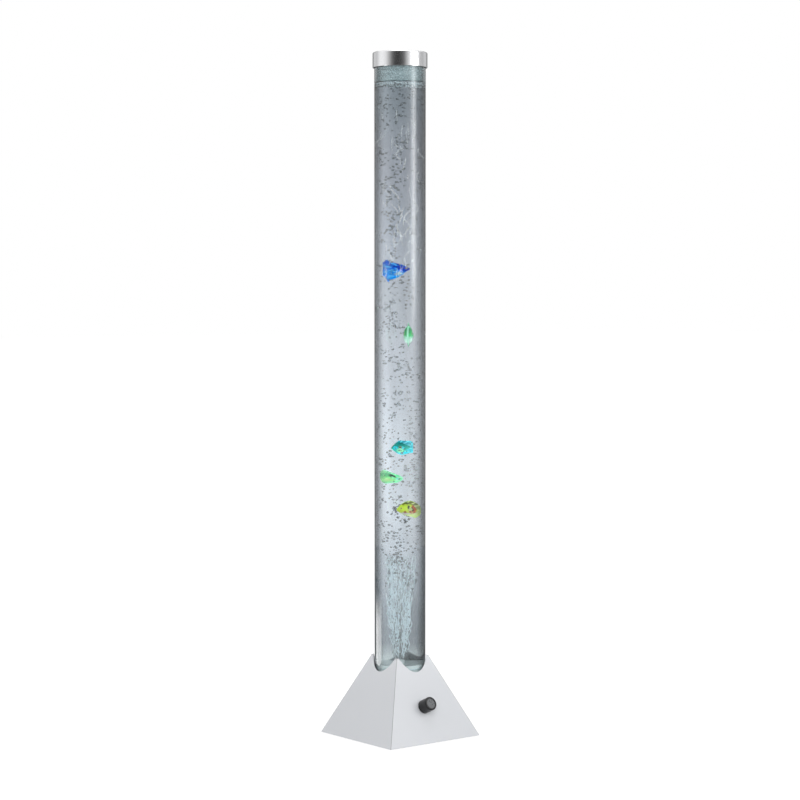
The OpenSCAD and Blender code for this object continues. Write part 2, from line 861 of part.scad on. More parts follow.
// Rubber rings in the plug's grooves
module plug_seals() {
    color([0.3, 0.42, 0.44])
        for (i = [0, 1])
            translate([0, 0, plug_top - seal_upper - i * seal_pitch])
                rotate_extrude()
                    translate([bore_r - seal_w / 2, 0])
                        circle(seal_w / 2 - thread_gap);
}

// Porous stone that the air leaves through
module air_stone() {
    color([0.75, 0.85, 0.86])
        translate([0, 0, plug_top])
            rotate_extrude()
                polygon([[0, -stone_spigot_h], [stone_spigot_r, -stone_spigot_h],
                    [stone_spigot_r, 0], [stone_r, 0], [stone_r, stone_h - 1],
                    [stone_r - 1, stone_h], [0, stone_h]]);
}

// Spigot under the plug that the air hose is pushed on
module plug_spigot() {
    color("ivory")
        translate([0, 0, pipe_bottom])
            pipe(spigot_r, spigot_bore_r, plug_z + spigot_h - pipe_bottom);
}

// Water, with a close pocket round the air stone and round each fish
module water() {
    color([0.75, 0.82, 0.86, 0.25])
        difference() {
            translate([0, 0, plug_top + water_gap])
                cylinder(r = bore_r - water_gap, h = water_top - plug_top - water_gap);
            translate([0, 0, plug_top])
                cylinder(r = stone_r + water_gap, h = stone_h + water_gap);
            blue_place(fish_gap);
            small_green_place(fish_gap);
            turquoise_place(fish_gap);
            pale_green_place(fish_gap);
            lime_place(fish_gap);
        }
}

// Spun metal cap with a rounded upper edge
module cap_shell() {
    color([0.75, 0.76, 0.78])
        rotate_extrude()
            difference() {
                union() {
                    translate([0, cap_z])
                        square([cap_r, cap_h - cap_edge_r]);
                    translate([0, total_h - cap_edge_r - eps])
                        square([cap_r - cap_edge_r, cap_edge_r + eps]);
                    intersection() {
                        translate([cap_r - cap_edge_r, total_h - cap_edge_r])
                            circle(cap_edge_r);
                        translate([0, cap_z])
                            square([cap_r, cap_h]);
                    }
                }
                translate([-eps, cap_z - eps])
                    square([cap_r - cap_t + eps, cap_h - cap_t + eps]);
            }
}

// Plastic liner that slips over the tube, with vents for the air
module cap_liner() {
    color([0.9, 0.9, 0.9])
        difference() {
            translate([0, 0, cap_z + liner_step])
                cylinder(r = liner_r, h = liner_disc_z + liner_disc_t - cap_z - liner_step);
            translate([0, 0, cap_z])
                cylinder(r = liner_bore, h = liner_disc_z - cap_z);
            around(vent_count)
                translate([vent_ring_r, 0, liner_disc_z - eps])
                    cylinder(r = vent_r, h = liner_disc_t + 2 * eps);
            around(vent_count)
                translate([liner_r - vent_groove_depth, -vent_groove_w / 2, cap_z])
                    cube([cap_t, vent_groove_w, cap_h]);
        }
}

// Soft ring between the tube's end and the liner
module cap_seal() {
    color([0.85, 0.88, 0.88])
        translate([0, 0, tube_top])
            pipe(tube_r, seal_in_r, cap_seal_t);
}

// Round board under the plug that carries the lights
module light_board() {
    color("darkgreen")
        difference() {
            translate([0, 0, light_board_z])
                pipe(light_board_r, light_hole_r, board_t);
            around(4)
                translate([light_screw_ring, 0, light_board_z - eps])
                    cylinder(r = small_screw_r + thread_gap, h = board_t + 2 * eps);
        }
}

// Colour-changing lights with domed tops
module lights() {
    color([0.9, 0.95, 1, 0.8])
        around(light_count)
            translate([light_ring_r, 0, light_board_z + board_t]) {
                cylinder(r = light_r, h = light_body_h);
                cylinder(r = light_r + light_rim, h = light_rim_h);
                translate([0, 0, light_body_h])
                    sphere(light_r);
            }
}

module light_spacers() {
    color("ivory")
        around(4)
            translate([light_screw_ring, 0, light_board_z + board_t])
                pipe(spacer_r, small_screw_r + thread_gap, light_gap);
}

module light_board_screws() {
    color("gainsboro")
        around(4)
            translate([light_screw_ring, 0, light_board_z])
                mirror([0, 0, 1])
                    screw(small_screw_r, small_head_r, small_head_h,
                        board_t + light_gap + light_screw_reach);
}

// Lower shell of the air pump, with its bosses, pivot seat and core seats
module pump_case() {
    hole_depth = case_h / 2;
    color([0.2, 0.2, 0.22])
        difference() {
            union() {
                translate([case_mid[0], case_mid[1], case_z])
                    difference() {
                        linear_extrude(case_h)
                            round_rect(case_size, case_corner_r);
                        translate([0, 0, case_t])
                            linear_extrude(case_h)
                                round_rect([case_size[0] - 2 * case_t, case_size[1] - 2 * case_t],
                                    case_corner_r - case_t);
                    }
                for (place = boss_places)
                    translate([place[0], place[1], case_z])
                        cylinder(r = boss_r, h = case_h - cover_lip_h - cover_gap);
                translate([-pivot_x, -arm_y, case_z])
                    cylinder(r = eye_r, h = arm_z - eye_h / 2 - case_z - wire_gap);
                for (x = [core_x, core_x + core_len - core_leg], y = [-1, 1])
                    translate([x, -arm_y + y * (core_w - core_leg) / 2 - core_leg / 2, case_z])
                        cube([core_leg, core_leg, arm_z - core_h / 2 - case_z]);
                translate([-valve_size[0] / 2, valve_y, case_z])
                    cube([valve_size[0] - 2, valve_size[1], valve_z - case_z]);
            }
            for (place = boss_places)
                translate([place[0], place[1], case_top - hole_depth])
                    cylinder(r = small_screw_r + thread_gap, h = hole_depth);
            translate([-pivot_x, -arm_y, case_floor - case_t / 2])
                cylinder(r = pivot_r + thread_gap, h = case_h);
            translate([core_x + core_len / 2, case_back, coil_wire_z])
                rotate([90, 0, 0])
                    cylinder(r = wire_r + wire_gap, h = 3 * case_t, center = true);
        }
}

// Cover of the air pump
module pump_cover() {
    lip = [case_size[0] - 2 * case_t - 2 * cover_gap, case_size[1] - 2 * case_t - 2 * cover_gap];
    lip_r = case_corner_r - case_t;
    color([0.24, 0.24, 0.26])
        difference() {
            union() {
                translate([case_mid[0], case_mid[1], case_top])
                    linear_extrude(cover_t)
                        round_rect(case_size, case_corner_r);
                translate([case_mid[0], case_mid[1], case_top - cover_lip_h])
                    linear_extrude(cover_lip_h)
                        difference() {
                            round_rect(lip, lip_r);
                            round_rect([lip[0] - 2 * cover_lip_t, lip[1] - 2 * cover_lip_t],
                                lip_r - cover_lip_t / 2);
                        }
                for (place = boss_places)
                    translate([place[0], place[1], case_top - cover_lip_h])
                        cylinder(r = boss_r - cover_gap, h = cover_lip_h + cover_t);
            }
            for (place = boss_places)
                translate([place[0], place[1], case_z])
                    cylinder(r = small_screw_r + screw_gap, h = 2 * case_h);
            translate([0, 0, case_z])
                cylinder(r = hose_od / 2 + screw_gap, h = 2 * case_h);
        }
}

module pump_cover_screws() {
    color("gainsboro")
        for (place = boss_places)
            translate([place[0], place[1], case_top + cover_t])
                screw(small_screw_r, small_head_r, small_head_h, case_h / 2);
}

// Rubber mounts that keep the pump's hum out of the base
module pump_mounts() {
    color([0.1, 0.1, 0.1])
        for (place = boss_places)
            translate([place[0], place[1], plate_top])
                cylinder(r = mount_r, h = mount_h);
}

// E-shaped iron core whose legs face the magnet
module pump_core() {
    color("dimgray")
        translate([core_x, -arm_y - core_w / 2, arm_z - core_h / 2])
            difference() {
                cube([core_len, core_w, core_h]);
                for (y = [core_leg, core_leg + window_w + core_mid])
                    translate([-eps, y, -eps])
                        cube([core_len - core_leg + eps, window_w, core_h + 2 * eps]);
            }
}

// Winding round the core's middle leg
module pump_coil() {
    inner = [core_mid + 2 * coil_gap, core_h + 2 * coil_gap];
    color([0.7, 0.38, 0.2])
        translate([core_x + coil_gap, -arm_y, arm_z])
            rotate([90, 0, 90])
                linear_extrude(coil_len)
                    difference() {
                        round_rect([inner[0] + 2 * coil_t, inner[1] + 2 * coil_t], coil_t / 2);
                        square(inner, center = true);
                    }
}

// Arm that swings about its pin and works the diaphragm
module pump_arm() {
    color([0.85, 0.85, 0.8])
        difference() {
            union() {
                translate([-pivot_x, -arm_y - arm_t / 2, arm_z - arm_h / 2])
                    cube([pivot_x + arm_tip, arm_t, arm_h]);
                translate([-pivot_x, -arm_y, arm_z - eye_h / 2])
                    cylinder(r = eye_r, h = eye_h);
            }
            translate([-pivot_x, -arm_y, arm_z - eye_h])
                cylinder(r = pivot_r + pivot_gap, h = 2 * eye_h);
        }
}

module pump_magnet() {
    color("lightslategray")
        translate([arm_tip, -arm_y - magnet_size[1] / 2, arm_z - magnet_size[2] / 2])
            cube(magnet_size);
}

module pump_pivot_pin() {
    color("lightgray")
        translate([-pivot_x, -arm_y, case_floor - case_t / 2])
            cylinder(r = pivot_r, h = arm_z + eye_h / 2 + 2 - case_floor);
}

// Ribbed rubber cup between the arm and the valve block
module pump_diaphragm() {
    color([0.12, 0.12, 0.12])
        translate([-diaphragm_x, valve_y, arm_z])
            rotate([90, 0, 0])
                rotate_extrude()
                    polygon([[0, 0], [diaphragm_r, 0], [diaphragm_r, diaphragm_t / 3],
                        [diaphragm_r - 2, diaphragm_t / 2], [diaphragm_r - 1, diaphragm_t * 2 / 3],
                        [diaphragm_r / 2, diaphragm_t], [0, diaphragm_t]]);
}

// Block with the flap valves and the upright outlet
module valve_block() {
    color("linen")
        difference() {
            union() {
                translate([2 - valve_size[0] / 2 - diaphragm_x, valve_y, valve_z])
                    cube(valve_size);
                cylinder(r = spigot_r, h = outlet_top);
            }
            translate([-case_left, -case_front, -eps])
                cube([2 * case_left, 2 * case_front, valve_z + eps]);
            translate([0, 0, arm_z])
                cylinder(r = spigot_bore_r, h = total_h);
        }
}

// Two lengths of soft hose, below and above the check valve
module air_hose() {
    color([0.85, 0.88, 0.9, 0.8]) {
        translate([0, 0, outlet_top - spigot_h + wire_gap])
            pipe(hose_od / 2, hose_id / 2, check_z - outlet_top + spigot_h - wire_gap);
        translate([0, 0, check_top])
            pipe(hose_od / 2, hose_id / 2, plug_z - check_top);
    }
}

// One-way valve that keeps the water out of the pump
module check_valve() {
    color([0.55, 0.75, 0.9])
        difference() {
            union() {
                translate([0, 0, check_z - spigot_h])
                    cylinder(r = spigot_r, h = check_h + 2 * spigot_h);
                translate([0, 0, check_z])
                    cylinder(r = check_r, h = check_h);
            }
            translate([0, 0, check_z - spigot_h - eps])
                cylinder(r = spigot_bore_r, h = check_h + 2 * spigot_h + 2 * eps);
        }
}

// Board that drives the lights and the pump
module control_board() {
    color("darkgreen")
        difference() {
            translate([-board_w / 2, board_front, board_z])
                cube([board_w, board_d, board_t]);
            for (place = board_holes)
                translate([place[0], place[1], board_z - eps])
                    cylinder(r = small_screw_r + thread_gap, h = board_t + 2 * eps);
        }
}

// Connectors, capacitor and driver chip on the control board
module board_components() {
    color([0.3, 0.3, 0.32]) {
        for (x = connector_xs)
            translate([x - connector_w / 2, connector_y - connector_w / 2, board_top])
                cube([connector_w, connector_w, connector_h]);
        translate([-2, board_back - capacitor_r - 1, board_top])
            cylinder(r = capacitor_r, h = capacitor_h);
        translate([8, board_back - 7, board_top])
            cube([9, 5, 2]);
    }
}

module board_standoffs() {
    color("ivory")
        for (place = board_holes)
            translate([place[0], place[1], plate_top])
                pipe(2 * small_screw_r, small_screw_r + thread_gap, board_lift);
}

module board_screws() {
    color("gainsboro")
        for (place = board_holes)
            translate([place[0], place[1], board_top])
                screw(small_screw_r, small_head_r, small_head_h, board_t + board_lift - 1);
}

// Dimmer's round can and threaded bushing, fixed behind the front face
module dimmer_can() {
    color("silver")
        on_front(-knob_x, knob_up)
            difference() {
                union() {
                    translate([0, 0, -sheet_t - can_h])
                        cylinder(r = can_r, h = can_h);
                    translate([0, 0, -sheet_t - can_h / 2])
                        cylinder(r = bushing_r, h = bushing_out + sheet_t + can_h / 2);
                }
                translate([0, 0, -sheet_t - shaft_in])
                    cylinder(r = shaft_r + shaft_gap, h = shaft_in + knob_len);
            }
}

module dimmer_nut() {
    color("gainsboro")
        on_front(-knob_x, knob_up)
            hex_bar(nut_flats, bushing_r + thread_gap, nut_t);
}

module dimmer_shaft() {
    low = shaft_gap - sheet_t - shaft_in;
    color("lightgray")
        on_front(-knob_x, knob_up)
            translate([0, 0, low])
                cylinder(r = shaft_r, h = knob_gap + knob_hollow + shaft_grip - low - shaft_gap);
}

// Black knob with a skirt, a straight grip and a rounded front
module knob() {
    front = knob_len - knob_round;
    color([0.06, 0.06, 0.06])
        on_front(-knob_x, knob_up)
            translate([0, 0, knob_gap])
                difference() {
                    rotate_extrude()
                        union() {
                            polygon([[0, 0], [knob_r, 0], [knob_r, knob_skirt],
                                [knob_grip_r, knob_skirt + knob_r - knob_grip_r],
                                [knob_grip_r, front], [knob_grip_r - knob_round, front],
                                [knob_grip_r - knob_round, knob_len], [0, knob_len]]);
                            intersection() {
                                translate([knob_grip_r - knob_round, front])
                                    circle(knob_round);
                                translate([0, front - eps])
                                    square([knob_grip_r, knob_round + eps]);
                            }
                        }
                    translate([0, 0, -eps])
                        cylinder(r = knob_hollow_r, h = knob_hollow + eps);
                    cylinder(r = shaft_r + shaft_knob_gap, h = knob_hollow + shaft_grip);
                    translate([0, 0, knob_len - insert_sink - insert_t])
                        cylinder(r = insert_r + thread_gap, h = knob_round);
                }
}

module knob_insert() {
    color([0.35, 0.36, 0.37])
        on_front(-knob_x, knob_up)
            translate([0, 0, knob_gap + knob_len - insert_sink - insert_t])
                cylinder(r = insert_r, h = insert_t);
}

// Barrel of the low-voltage power inlet on the back face
module inlet_body() {
    color([0.05, 0.05, 0.05])
        on_back(inlet_up)
            difference() {
                union() {
                    cylinder(r = inlet_r + inlet_flange, h = inlet_flange_t);
                    translate([0, 0, -inlet_len])
                        cylinder(r = inlet_r, h = inlet_len + eps);
                }
                translate([0, 0, inlet_floor])
                    cylinder(r = inlet_hole_r, h = inlet_depth + eps);
                translate([0, 0, -inlet_len - eps])
                    cylinder(r = contact_root_r + thread_gap, h = inlet_len);
            }
}

// Centre contact, with its solder tail behind the barrel
module inlet_contact() {
    root_z = -inlet_len - contact_tail;
    contact_tip = inlet_flange_t - contact_sink;
    color([0.85, 0.7, 0.35])
        on_back(inlet_up)
            rotate_extrude()
                polygon([[0, root_z], [contact_root_r, root_z], [contact_root_r, inlet_floor],
                    [contact_r, inlet_floor], [contact_r, contact_tip], [0, contact_tip]]);
}

module inlet_nut() {
    color("gainsboro")
        on_back(inlet_up)
            translate([0, 0, -sheet_t - inlet_nut_t])
                hex_bar(inlet_nut_flats, inlet_r + thread_gap, inlet_nut_t);
}

// Wires from the lights, dimmer, inlet and pump to the control board
module wiring() {
    down = connector_top + wire_r + wire_gap;
    over = case_top + cover_t + 2 * wire_r + small_head_h;
    coil_x = core_x + core_len / 2;
    can_back = sheet_t + can_h + wire_r + wire_gap;
    knob_y = -half_w * (1 - knob_up / apex_h) + can_back * cos(face_tilt);
    knob_z = foot_proud + knob_up - can_back * sin(face_tilt);
    tail = inlet_len + contact_tail + wire_r + wire_gap;
    inlet_y = half_w * (1 - inlet_up / apex_h) - tail * cos(face_tilt);
    inlet_z = foot_proud + inlet_up - tail * sin(face_tilt);
    color([0.65, 0.1, 0.1]) {
        wire([[connector_xs[0], light_ring_r, light_board_z - wire_r - wire_gap],
            [connector_xs[0], connector_y, light_board_z - wire_r - wire_gap - light_ring_r],
            [connector_xs[0], connector_y, down]]);
        wire([[-knob_x, knob_y, knob_z], [-knob_x, -case_front, over],
            [-knob_x, case_back, over], [-knob_x, connector_y, down + connector_h],
            [-knob_x, connector_y, down]]);
        wire([[0, inlet_y, inlet_z], [connector_xs[2], board_back + wire_r, down + connector_h],
            [connector_xs[2], connector_y, down]]);
        wire([[coil_x, -arm_y, coil_wire_z], [coil_x, case_back + 2, coil_wire_z],
            [connector_xs[3], connector_y, down + connector_h / 2], [connector_xs[3], connector_y, down]]);
    }
}

module fish_blue() {
    color([0.1, 0.4, 0.9])
        blue_place();
}

module fish_small_green() {
    color([0.2, 0.6, 0.3])
        small_green_place();
}

module fish_turquoise() {
    color([0.1, 0.6, 0.65])
        turquoise_place();
}

module fish_pale_green() {
    color([0.5, 0.8, 0.5])
        pale_green_place();
}

module fish_lime() {
    color([0.7, 0.8, 0.2])
        lime_place();
}

base_housing();
base_plate();
plate_screws();
rubber_feet();
frame_standoffs();
lower_frame_screws();
upper_frame_screws();
tube_socket();
tube();
tube_plug();
plug_seals();
air_stone();
plug_spigot();
water();
cap_shell();
cap_liner();
cap_seal();
light_board();
lights();
light_spacers();
light_board_screws();
pump_case();
pump_cover();
pump_cover_screws();
pump_mounts();
pump_core();
pump_coil();
pump_arm();
pump_magnet();
pump_pivot_pin();
pump_diaphragm();
valve_block();
air_hose();
check_valve();
control_board();
board_components();
board_standoffs();
board_screws();
dimmer_can();
dimmer_nut();
dimmer_shaft();
knob();
knob_insert();
inlet_body();
inlet_contact();
inlet_nut();
wiring();
fish_blue();
fish_small_green();
fish_turquoise();
fish_pale_green();
fish_lime();
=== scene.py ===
import json
import math
import random
from functools import cached_property

import bmesh
import bpy
from mathutils import Matrix, Vector


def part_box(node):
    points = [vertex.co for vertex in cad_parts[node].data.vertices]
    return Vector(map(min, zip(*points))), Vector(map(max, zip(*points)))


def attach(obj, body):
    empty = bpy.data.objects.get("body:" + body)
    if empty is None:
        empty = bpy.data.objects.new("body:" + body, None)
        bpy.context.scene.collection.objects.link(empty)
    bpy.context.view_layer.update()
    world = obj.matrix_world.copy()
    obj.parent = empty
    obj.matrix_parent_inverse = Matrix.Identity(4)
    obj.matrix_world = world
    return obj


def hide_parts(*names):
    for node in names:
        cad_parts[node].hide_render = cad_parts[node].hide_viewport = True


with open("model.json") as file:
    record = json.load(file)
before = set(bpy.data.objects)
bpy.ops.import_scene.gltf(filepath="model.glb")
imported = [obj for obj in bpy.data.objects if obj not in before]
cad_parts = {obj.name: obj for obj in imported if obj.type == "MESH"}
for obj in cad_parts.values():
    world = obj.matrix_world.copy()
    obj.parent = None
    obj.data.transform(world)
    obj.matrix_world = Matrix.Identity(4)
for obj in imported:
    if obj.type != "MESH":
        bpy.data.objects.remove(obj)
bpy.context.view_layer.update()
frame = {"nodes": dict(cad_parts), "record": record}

MM = 0.001

# The camera sees the corner between the front and left faces
VIEW_TURN = math.radians(-38.66)
VIEW_RIGHT = Matrix.Rotation(VIEW_TURN, 3, "Z") @ Vector((1, 0, 0))
VIEW_BACK = Matrix.Rotation(VIEW_TURN, 3, "Z") @ Vector((0, 1, 0))
CAMERA_DISTANCE = 3.8161
CAMERA_HEIGHT = 0.7824
CAMERA_DIP = math.radians(2.8385)
CAMERA_LENS = 97.75
SENSOR_WIDTH = 36

# Tube, water and what closes them, from the frame
tube_low, tube_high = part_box("tube")
shell_low, shell_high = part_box("cap_shell")
SURFACE_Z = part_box("water")[1].z
FLOOR_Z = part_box("tube_plug")[1].z
STONE_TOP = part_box("air_stone")[1].z

TUBE_R = (tube_high.x - tube_low.x) / 2
BORE_R = TUBE_R - 3 * MM
TUBE_EASE = 0.5 * MM
LIQUID_LAP = 0.15 * MM
MENISCUS_RISE = 1.6 * MM
MENISCUS_REACH = 4 * MM
MENISCUS_STEPS = 8

CAP_R = (shell_high.x - shell_low.x) / 2
CAP_WALL = 1.4 * MM
CAP_EDGE_R = 2.5 * MM
CAP_EASE = 0.3 * MM
FOLD_EASE = 0.35 * MM
ROUND_STEPS = 128
MERGE_GAP = 1e-6


# ---------------------------------------------------------------- materials

def grey(level):
    """Neutral colour."""
    return (level, level, level)


def spaced(words):
    """Name with spaces for its underscores."""
    return words.replace("_", " ")


class Nodes:
    """A node tree, with a short call for each kind of node that the finishes use."""

    def __init__(self, tree):
        self.tree = tree

    def join(self, value, socket):
        """Links a socket or sets its value; colours are given without their alpha."""
        if isinstance(value, bpy.types.NodeSocket):
            self.tree.links.new(value, socket)
        elif socket.type == "RGBA":
            socket.default_value = (*value, 1)
        else:
            socket.default_value = value

    def add(self, kind, inputs=None, **settings):
        """Adds a node, with its settings, and fills or links its inputs."""
        node = self.tree.nodes.new("ShaderNode" + kind)
        for key, value in settings.items():
            setattr(node, key, value)
        for key, value in (inputs or {}).items():
            self.join(value, node.inputs[key])
        return node

    def put(self, kind, inputs=None, output=0, **settings):
        """Adds a node and gives one of its outputs."""
        return self.add(kind, inputs, **settings).outputs[output]

    def math(self, operation, first, second=0, third=0, clamp=False):
        """One sum."""
        return self.put("Math", {0: first, 1: second, 2: third}, operation=operation, use_clamp=clamp)

    def span(self, value, low, high, first=0, last=1, kind="LINEAR"):
        """Maps the range from low to high to the one from first to last, and stays within it."""
        return self.put("MapRange", {0: value, 1: low, 2: high, 3: first, 4: last}, interpolation_type=kind)

    def noise(self, vector, scale, detail, distortion=0):
        """Noise with soft steps, about 0.5."""
        return self.put("TexNoise", {"Vector": vector, "Scale": scale, "Detail": detail,
                                     "Distortion": distortion})

    def parts(self, vector):
        """The three coordinates of a vector."""
        return self.add("SeparateXYZ", {0: vector}).outputs

    def combine(self, x=0, y=0, z=0):
        """Vector of three coordinates."""
        return self.put("CombineXYZ", {0: x, 1: y, 2: z})

    def vector_math(self, operation, first, second=(0, 0, 0)):
        """Length, distance or product of vectors, as a number."""
        return self.put("VectorMath", {0: first, 1: second}, "Value", operation=operation)

    def blend(self, factor, first, second, mode="MIX"):
        """Mixes two colours."""
        return self.put("Mix", {0: factor, 6: first, 7: second}, 2, data_type="RGBA", blend_type=mode)

    def scaled(self, color, level):
        """Colour times a number."""
        return self.blend(1, color, self.combine(level, level, level), "MULTIPLY")

    def ramp(self, factor, stops, interpolation="LINEAR"):
        """Colour ramp with stops given as (place, colour or grey level)."""
        node = self.add("ValToRGB", {0: factor})
        band = node.color_ramp
        band.interpolation = interpolation
        while len(band.elements) < len(stops):
            band.elements.new(0.5)
        for element, (place, color) in zip(band.elements, stops):
            element.position = place
            element.color = (*(color if isinstance(color, tuple) else grey(color)), 1)
        return node.outputs[0]

    def seen_by(self, *rays):
        """1 for the camera's rays and those of other kinds."""
        path = self.add("LightPath").outputs
        seen = path["Is Camera Ray"]
        for ray in rays:
            seen = self.math("MAXIMUM", seen, path[f"Is {ray} Ray"])
        return seen


class Group(Nodes):
    """Node group that finishes share; its inputs are given with their values, no value meaning a vector."""

    def __init__(self, name, inputs, outputs):
        super().__init__(bpy.data.node_groups.new(name, "ShaderNodeTree"))
        for label, value in inputs.items():
            kind = "Vector" if value is None else "Color" if isinstance(value, tuple) else "Float"
            socket = self.tree.interface.new_socket(label, in_out="INPUT", socket_type="NodeSocket" + kind)
            if value is not None:
                socket.default_value = (*value, 1) if kind == "Color" else value
        for label, kind in outputs.items():
            self.tree.interface.new_socket(label, in_out="OUTPUT", socket_type="NodeSocket" + kind)
        self.given = self.tree.nodes.new("NodeGroupInput").outputs
        self.sink = self.tree.nodes.new("NodeGroupOutput").inputs

    def give(self, **values):
        """Links the group's outputs."""
        for label, value in values.items():
            self.join(value, self.sink[label])


def surface_group():
    """Mottled colour, uneven gloss and fine grain, which nearly every finish uses."""
    group = Group("surface finish",
                  {"Vector": None, "Color": grey(0.5), "Tint Shift": 0.05, "Mottle Scale": 40,
                   "Roughness": 0.5, "Gloss Shift": 0.1, "Grain Scale": 900},
                  {"Color": "Color", "Roughness": "Float", "Height": "Float"})
    given = group.given
    mottle = group.math("SUBTRACT", group.noise(given["Vector"], given["Mottle Scale"], 3), 0.5)
    smears = group.math("SUBTRACT", group.noise(given["Vector"], given["Mottle Scale"], 5, 1.5), 0.5)
    change = group.math("MULTIPLY", smears, given["Gloss Shift"])
    group.give(Color=group.scaled(given["Color"], group.math("MULTIPLY_ADD", mottle, given["Tint Shift"], 1)),
               Roughness=group.math("ADD", change, given["Roughness"], clamp=True),
               Height=group.noise(given["Vector"], given["Grain Scale"], 2))
    return group.tree


def line_group():
    """Fine parallel lines across one direction, as brushing or winding leaves them."""
    group = Group("fine lines", {"Distance": 0, "Spacing": 0.0005, "Unevenness": 0.5}, {"Height": "Float"})
    turns = group.math("DIVIDE", group.given["Distance"], group.given["Spacing"])
    uneven = group.noise(group.combine(turns), 1, 4)
    wave = group.math("SINE", group.math("MULTIPLY", turns, math.tau))
    wave = group.math("MULTIPLY_ADD", wave, 0.5, 0.5)
    group.give(Height=group.put("Mix", {0: group.given["Unevenness"], 2: wave, 3: uneven}))
    return group.tree


def scale_group():
    """Rows of small overlapping scales."""
    group = Group("fish scales", {"Vector": None, "Count": 26}, {"Height": "Float", "Rim": "Float"})
    gap = group.put("TexVoronoi", {"Vector": group.given["Vector"], "Scale": group.given["Count"],
                                   "Randomness": 0.25}, "Distance")
    group.give(Height=group.math("SUBTRACT", 1, gap), Rim=group.span(gap, 0.35, 0.6))
    return group.tree


SURFACE = surface_group()
LINES = line_group()
SCALES = scale_group()


class Finish(Nodes):
    """New material with its Principled shader, and plain values on the shader's own sockets."""

    def __init__(self, name, **sockets):
        self.material = bpy.data.materials.new(name)
        self.material.use_nodes = True
        super().__init__(self.material.node_tree)
        self.shader = self.tree.nodes["Principled BSDF"]
        self.set(**sockets)

    @cached_property
    def place(self):
        """The frame's own coordinates, in metres."""
        return self.put("TexCoord", output="Object")

    @cached_property
    def height(self):
        """Height above the floor, in metres."""
        return self.parts(self.place)[2]

    def set(self, **sockets):
        """Sets or links sockets of the shader."""
        for key, value in sockets.items():
            self.join(value, self.shader.inputs[spaced(key)])

    def place_group(self, group, **inputs):
        """Puts a shared node group into the material, with its own values."""
        filled = {spaced(key): value for key, value in inputs.items()}
        return self.add("Group", filled, node_tree=group).outputs

    def surface(self, color, gloss=True, **values):
        """Mottled colour and, where the roughness isn't plain, uneven gloss."""
        made = self.place_group(SURFACE, Vector=self.place, Color=color, **values)
        self.set(Base_Color=made["Color"])
        if gloss:
            self.set(Roughness=made["Roughness"])
        return made

    def emboss(self, height, depth):
        """Bump from a height between 0 and 1 that stands for a depth in metres."""
        self.set(Normal=self.put("Bump", {"Height": height, "Strength": 1, "Distance": depth}))

    def rule_lines(self, distance, spacing, unevenness, depth):
        """Bump of fine lines, by the distance across them."""
        made = self.place_group(LINES, Distance=distance, Spacing=spacing, Unevenness=unevenness)
        self.emboss(made["Height"], depth)

    def facing(self):
        """From 0 where the surface faces the ray to 1 where it is seen edge-on."""
        return self.put("LayerWeight", {"Blend": 0.5}, "Facing")

    def mix_output(self, factor, first, second):
        """Mixes two shaders into the material's output."""
        mix = self.put("MixShader", {0: factor, 1: first, 2: second})
        self.join(mix, self.tree.nodes["Material Output"].inputs["Surface"])
        return self.material

    def let_lamps_through(self):
        """Glass that casts no black shadow: light from the lamps passes straight through it."""
        shadow = self.put("LightPath", output="Is Shadow Ray")
        return self.mix_output(shadow, self.shader.outputs[0], self.put("BsdfTransparent"))

    def show_in_gloss(self):
        """Glow that is seen in gloss, and in glass only by rays that were reflected inside it."""
        path = self.add("LightPath").outputs
        inner = self.math("MULTIPLY", path["Is Transmission Ray"],
                          self.math("GREATER_THAN", path["Glossy Depth"], 0.5))
        seen = self.math("MAXIMUM", path["Is Reflection Ray"], inner)
        return self.mix_output(seen, self.put("BsdfTransparent"), self.shader.outputs[0])


def solid_finish(slot, color, roughness, tint=0.06, mottle=40, grain=900, depth=0.02 * MM, **sockets):
    """Opaque finish with mottled colour, uneven gloss and a fine grain."""
    finish = Finish(spaced(slot), **sockets)
    made = finish.surface(color, Tint_Shift=tint, Mottle_Scale=mottle, Roughness=roughness, Grain_Scale=grain)
    finish.emboss(made["Height"], depth)
    return finish.material


# Painted shade of the tube, which darkens it towards its outline, from face-on (0) to edge-on (1), high up
# and at the foot, and between them
UPPER_EDGE_SHADE = [(0, 1), (0.14, 0.97), (0.25, 0.8), (0.36, 0.48), (0.5, 0.24), (0.63, 0.2), (0.75, 0.18),
               (1, 0.08)]
LOWER_EDGE_SHADE = [(0, 1), (0.14, 0.95), (0.25, 0.7), (0.36, 0.36), (0.5, 0.15), (0.63, 0.12), (0.75, 0.09),
               (1, 0.04)]
# Heights between which the darker lower painted shade gives way to the upper one, going up and going down
EDGE_SHADE_RISE = (0.45, 0.85)
EDGE_SHADE_FOOT = (0.4, 0.25)
# Mist on the dry wall above the water, from the surface (0) to the cap (1)
MIST_TINTS = [(0, (0.58, 0.66, 0.68)), (0.5, (0.64, 0.72, 0.74)), (1, (0.75, 0.82, 0.84))]


def tube_finish():
    """Cast acrylic with painted shade that darkens it near its outline, and misted above the water."""
    finish = Finish("clear acrylic", Roughness=0, IOR=1.49, Transmission_Weight=1)
    facing, height = finish.facing(), finish.height
    share = finish.math("MAXIMUM", finish.span(height, *EDGE_SHADE_RISE), finish.span(height, *EDGE_SHADE_FOOT))
    # painted shade: the tube's colour darkens towards its outline
    edge = finish.blend(share, finish.ramp(facing, LOWER_EDGE_SHADE), finish.ramp(facing, UPPER_EDGE_SHADE))
    above = finish.math("GREATER_THAN", height, SURFACE_Z)
    mist = finish.ramp(finish.span(height, SURFACE_Z, shell_low.z), MIST_TINTS)
    mist = finish.blend(above, grey(1), mist)
    finish.set(Base_Color=finish.blend(1, edge, mist, "MULTIPLY"))
    return finish.let_lamps_through()
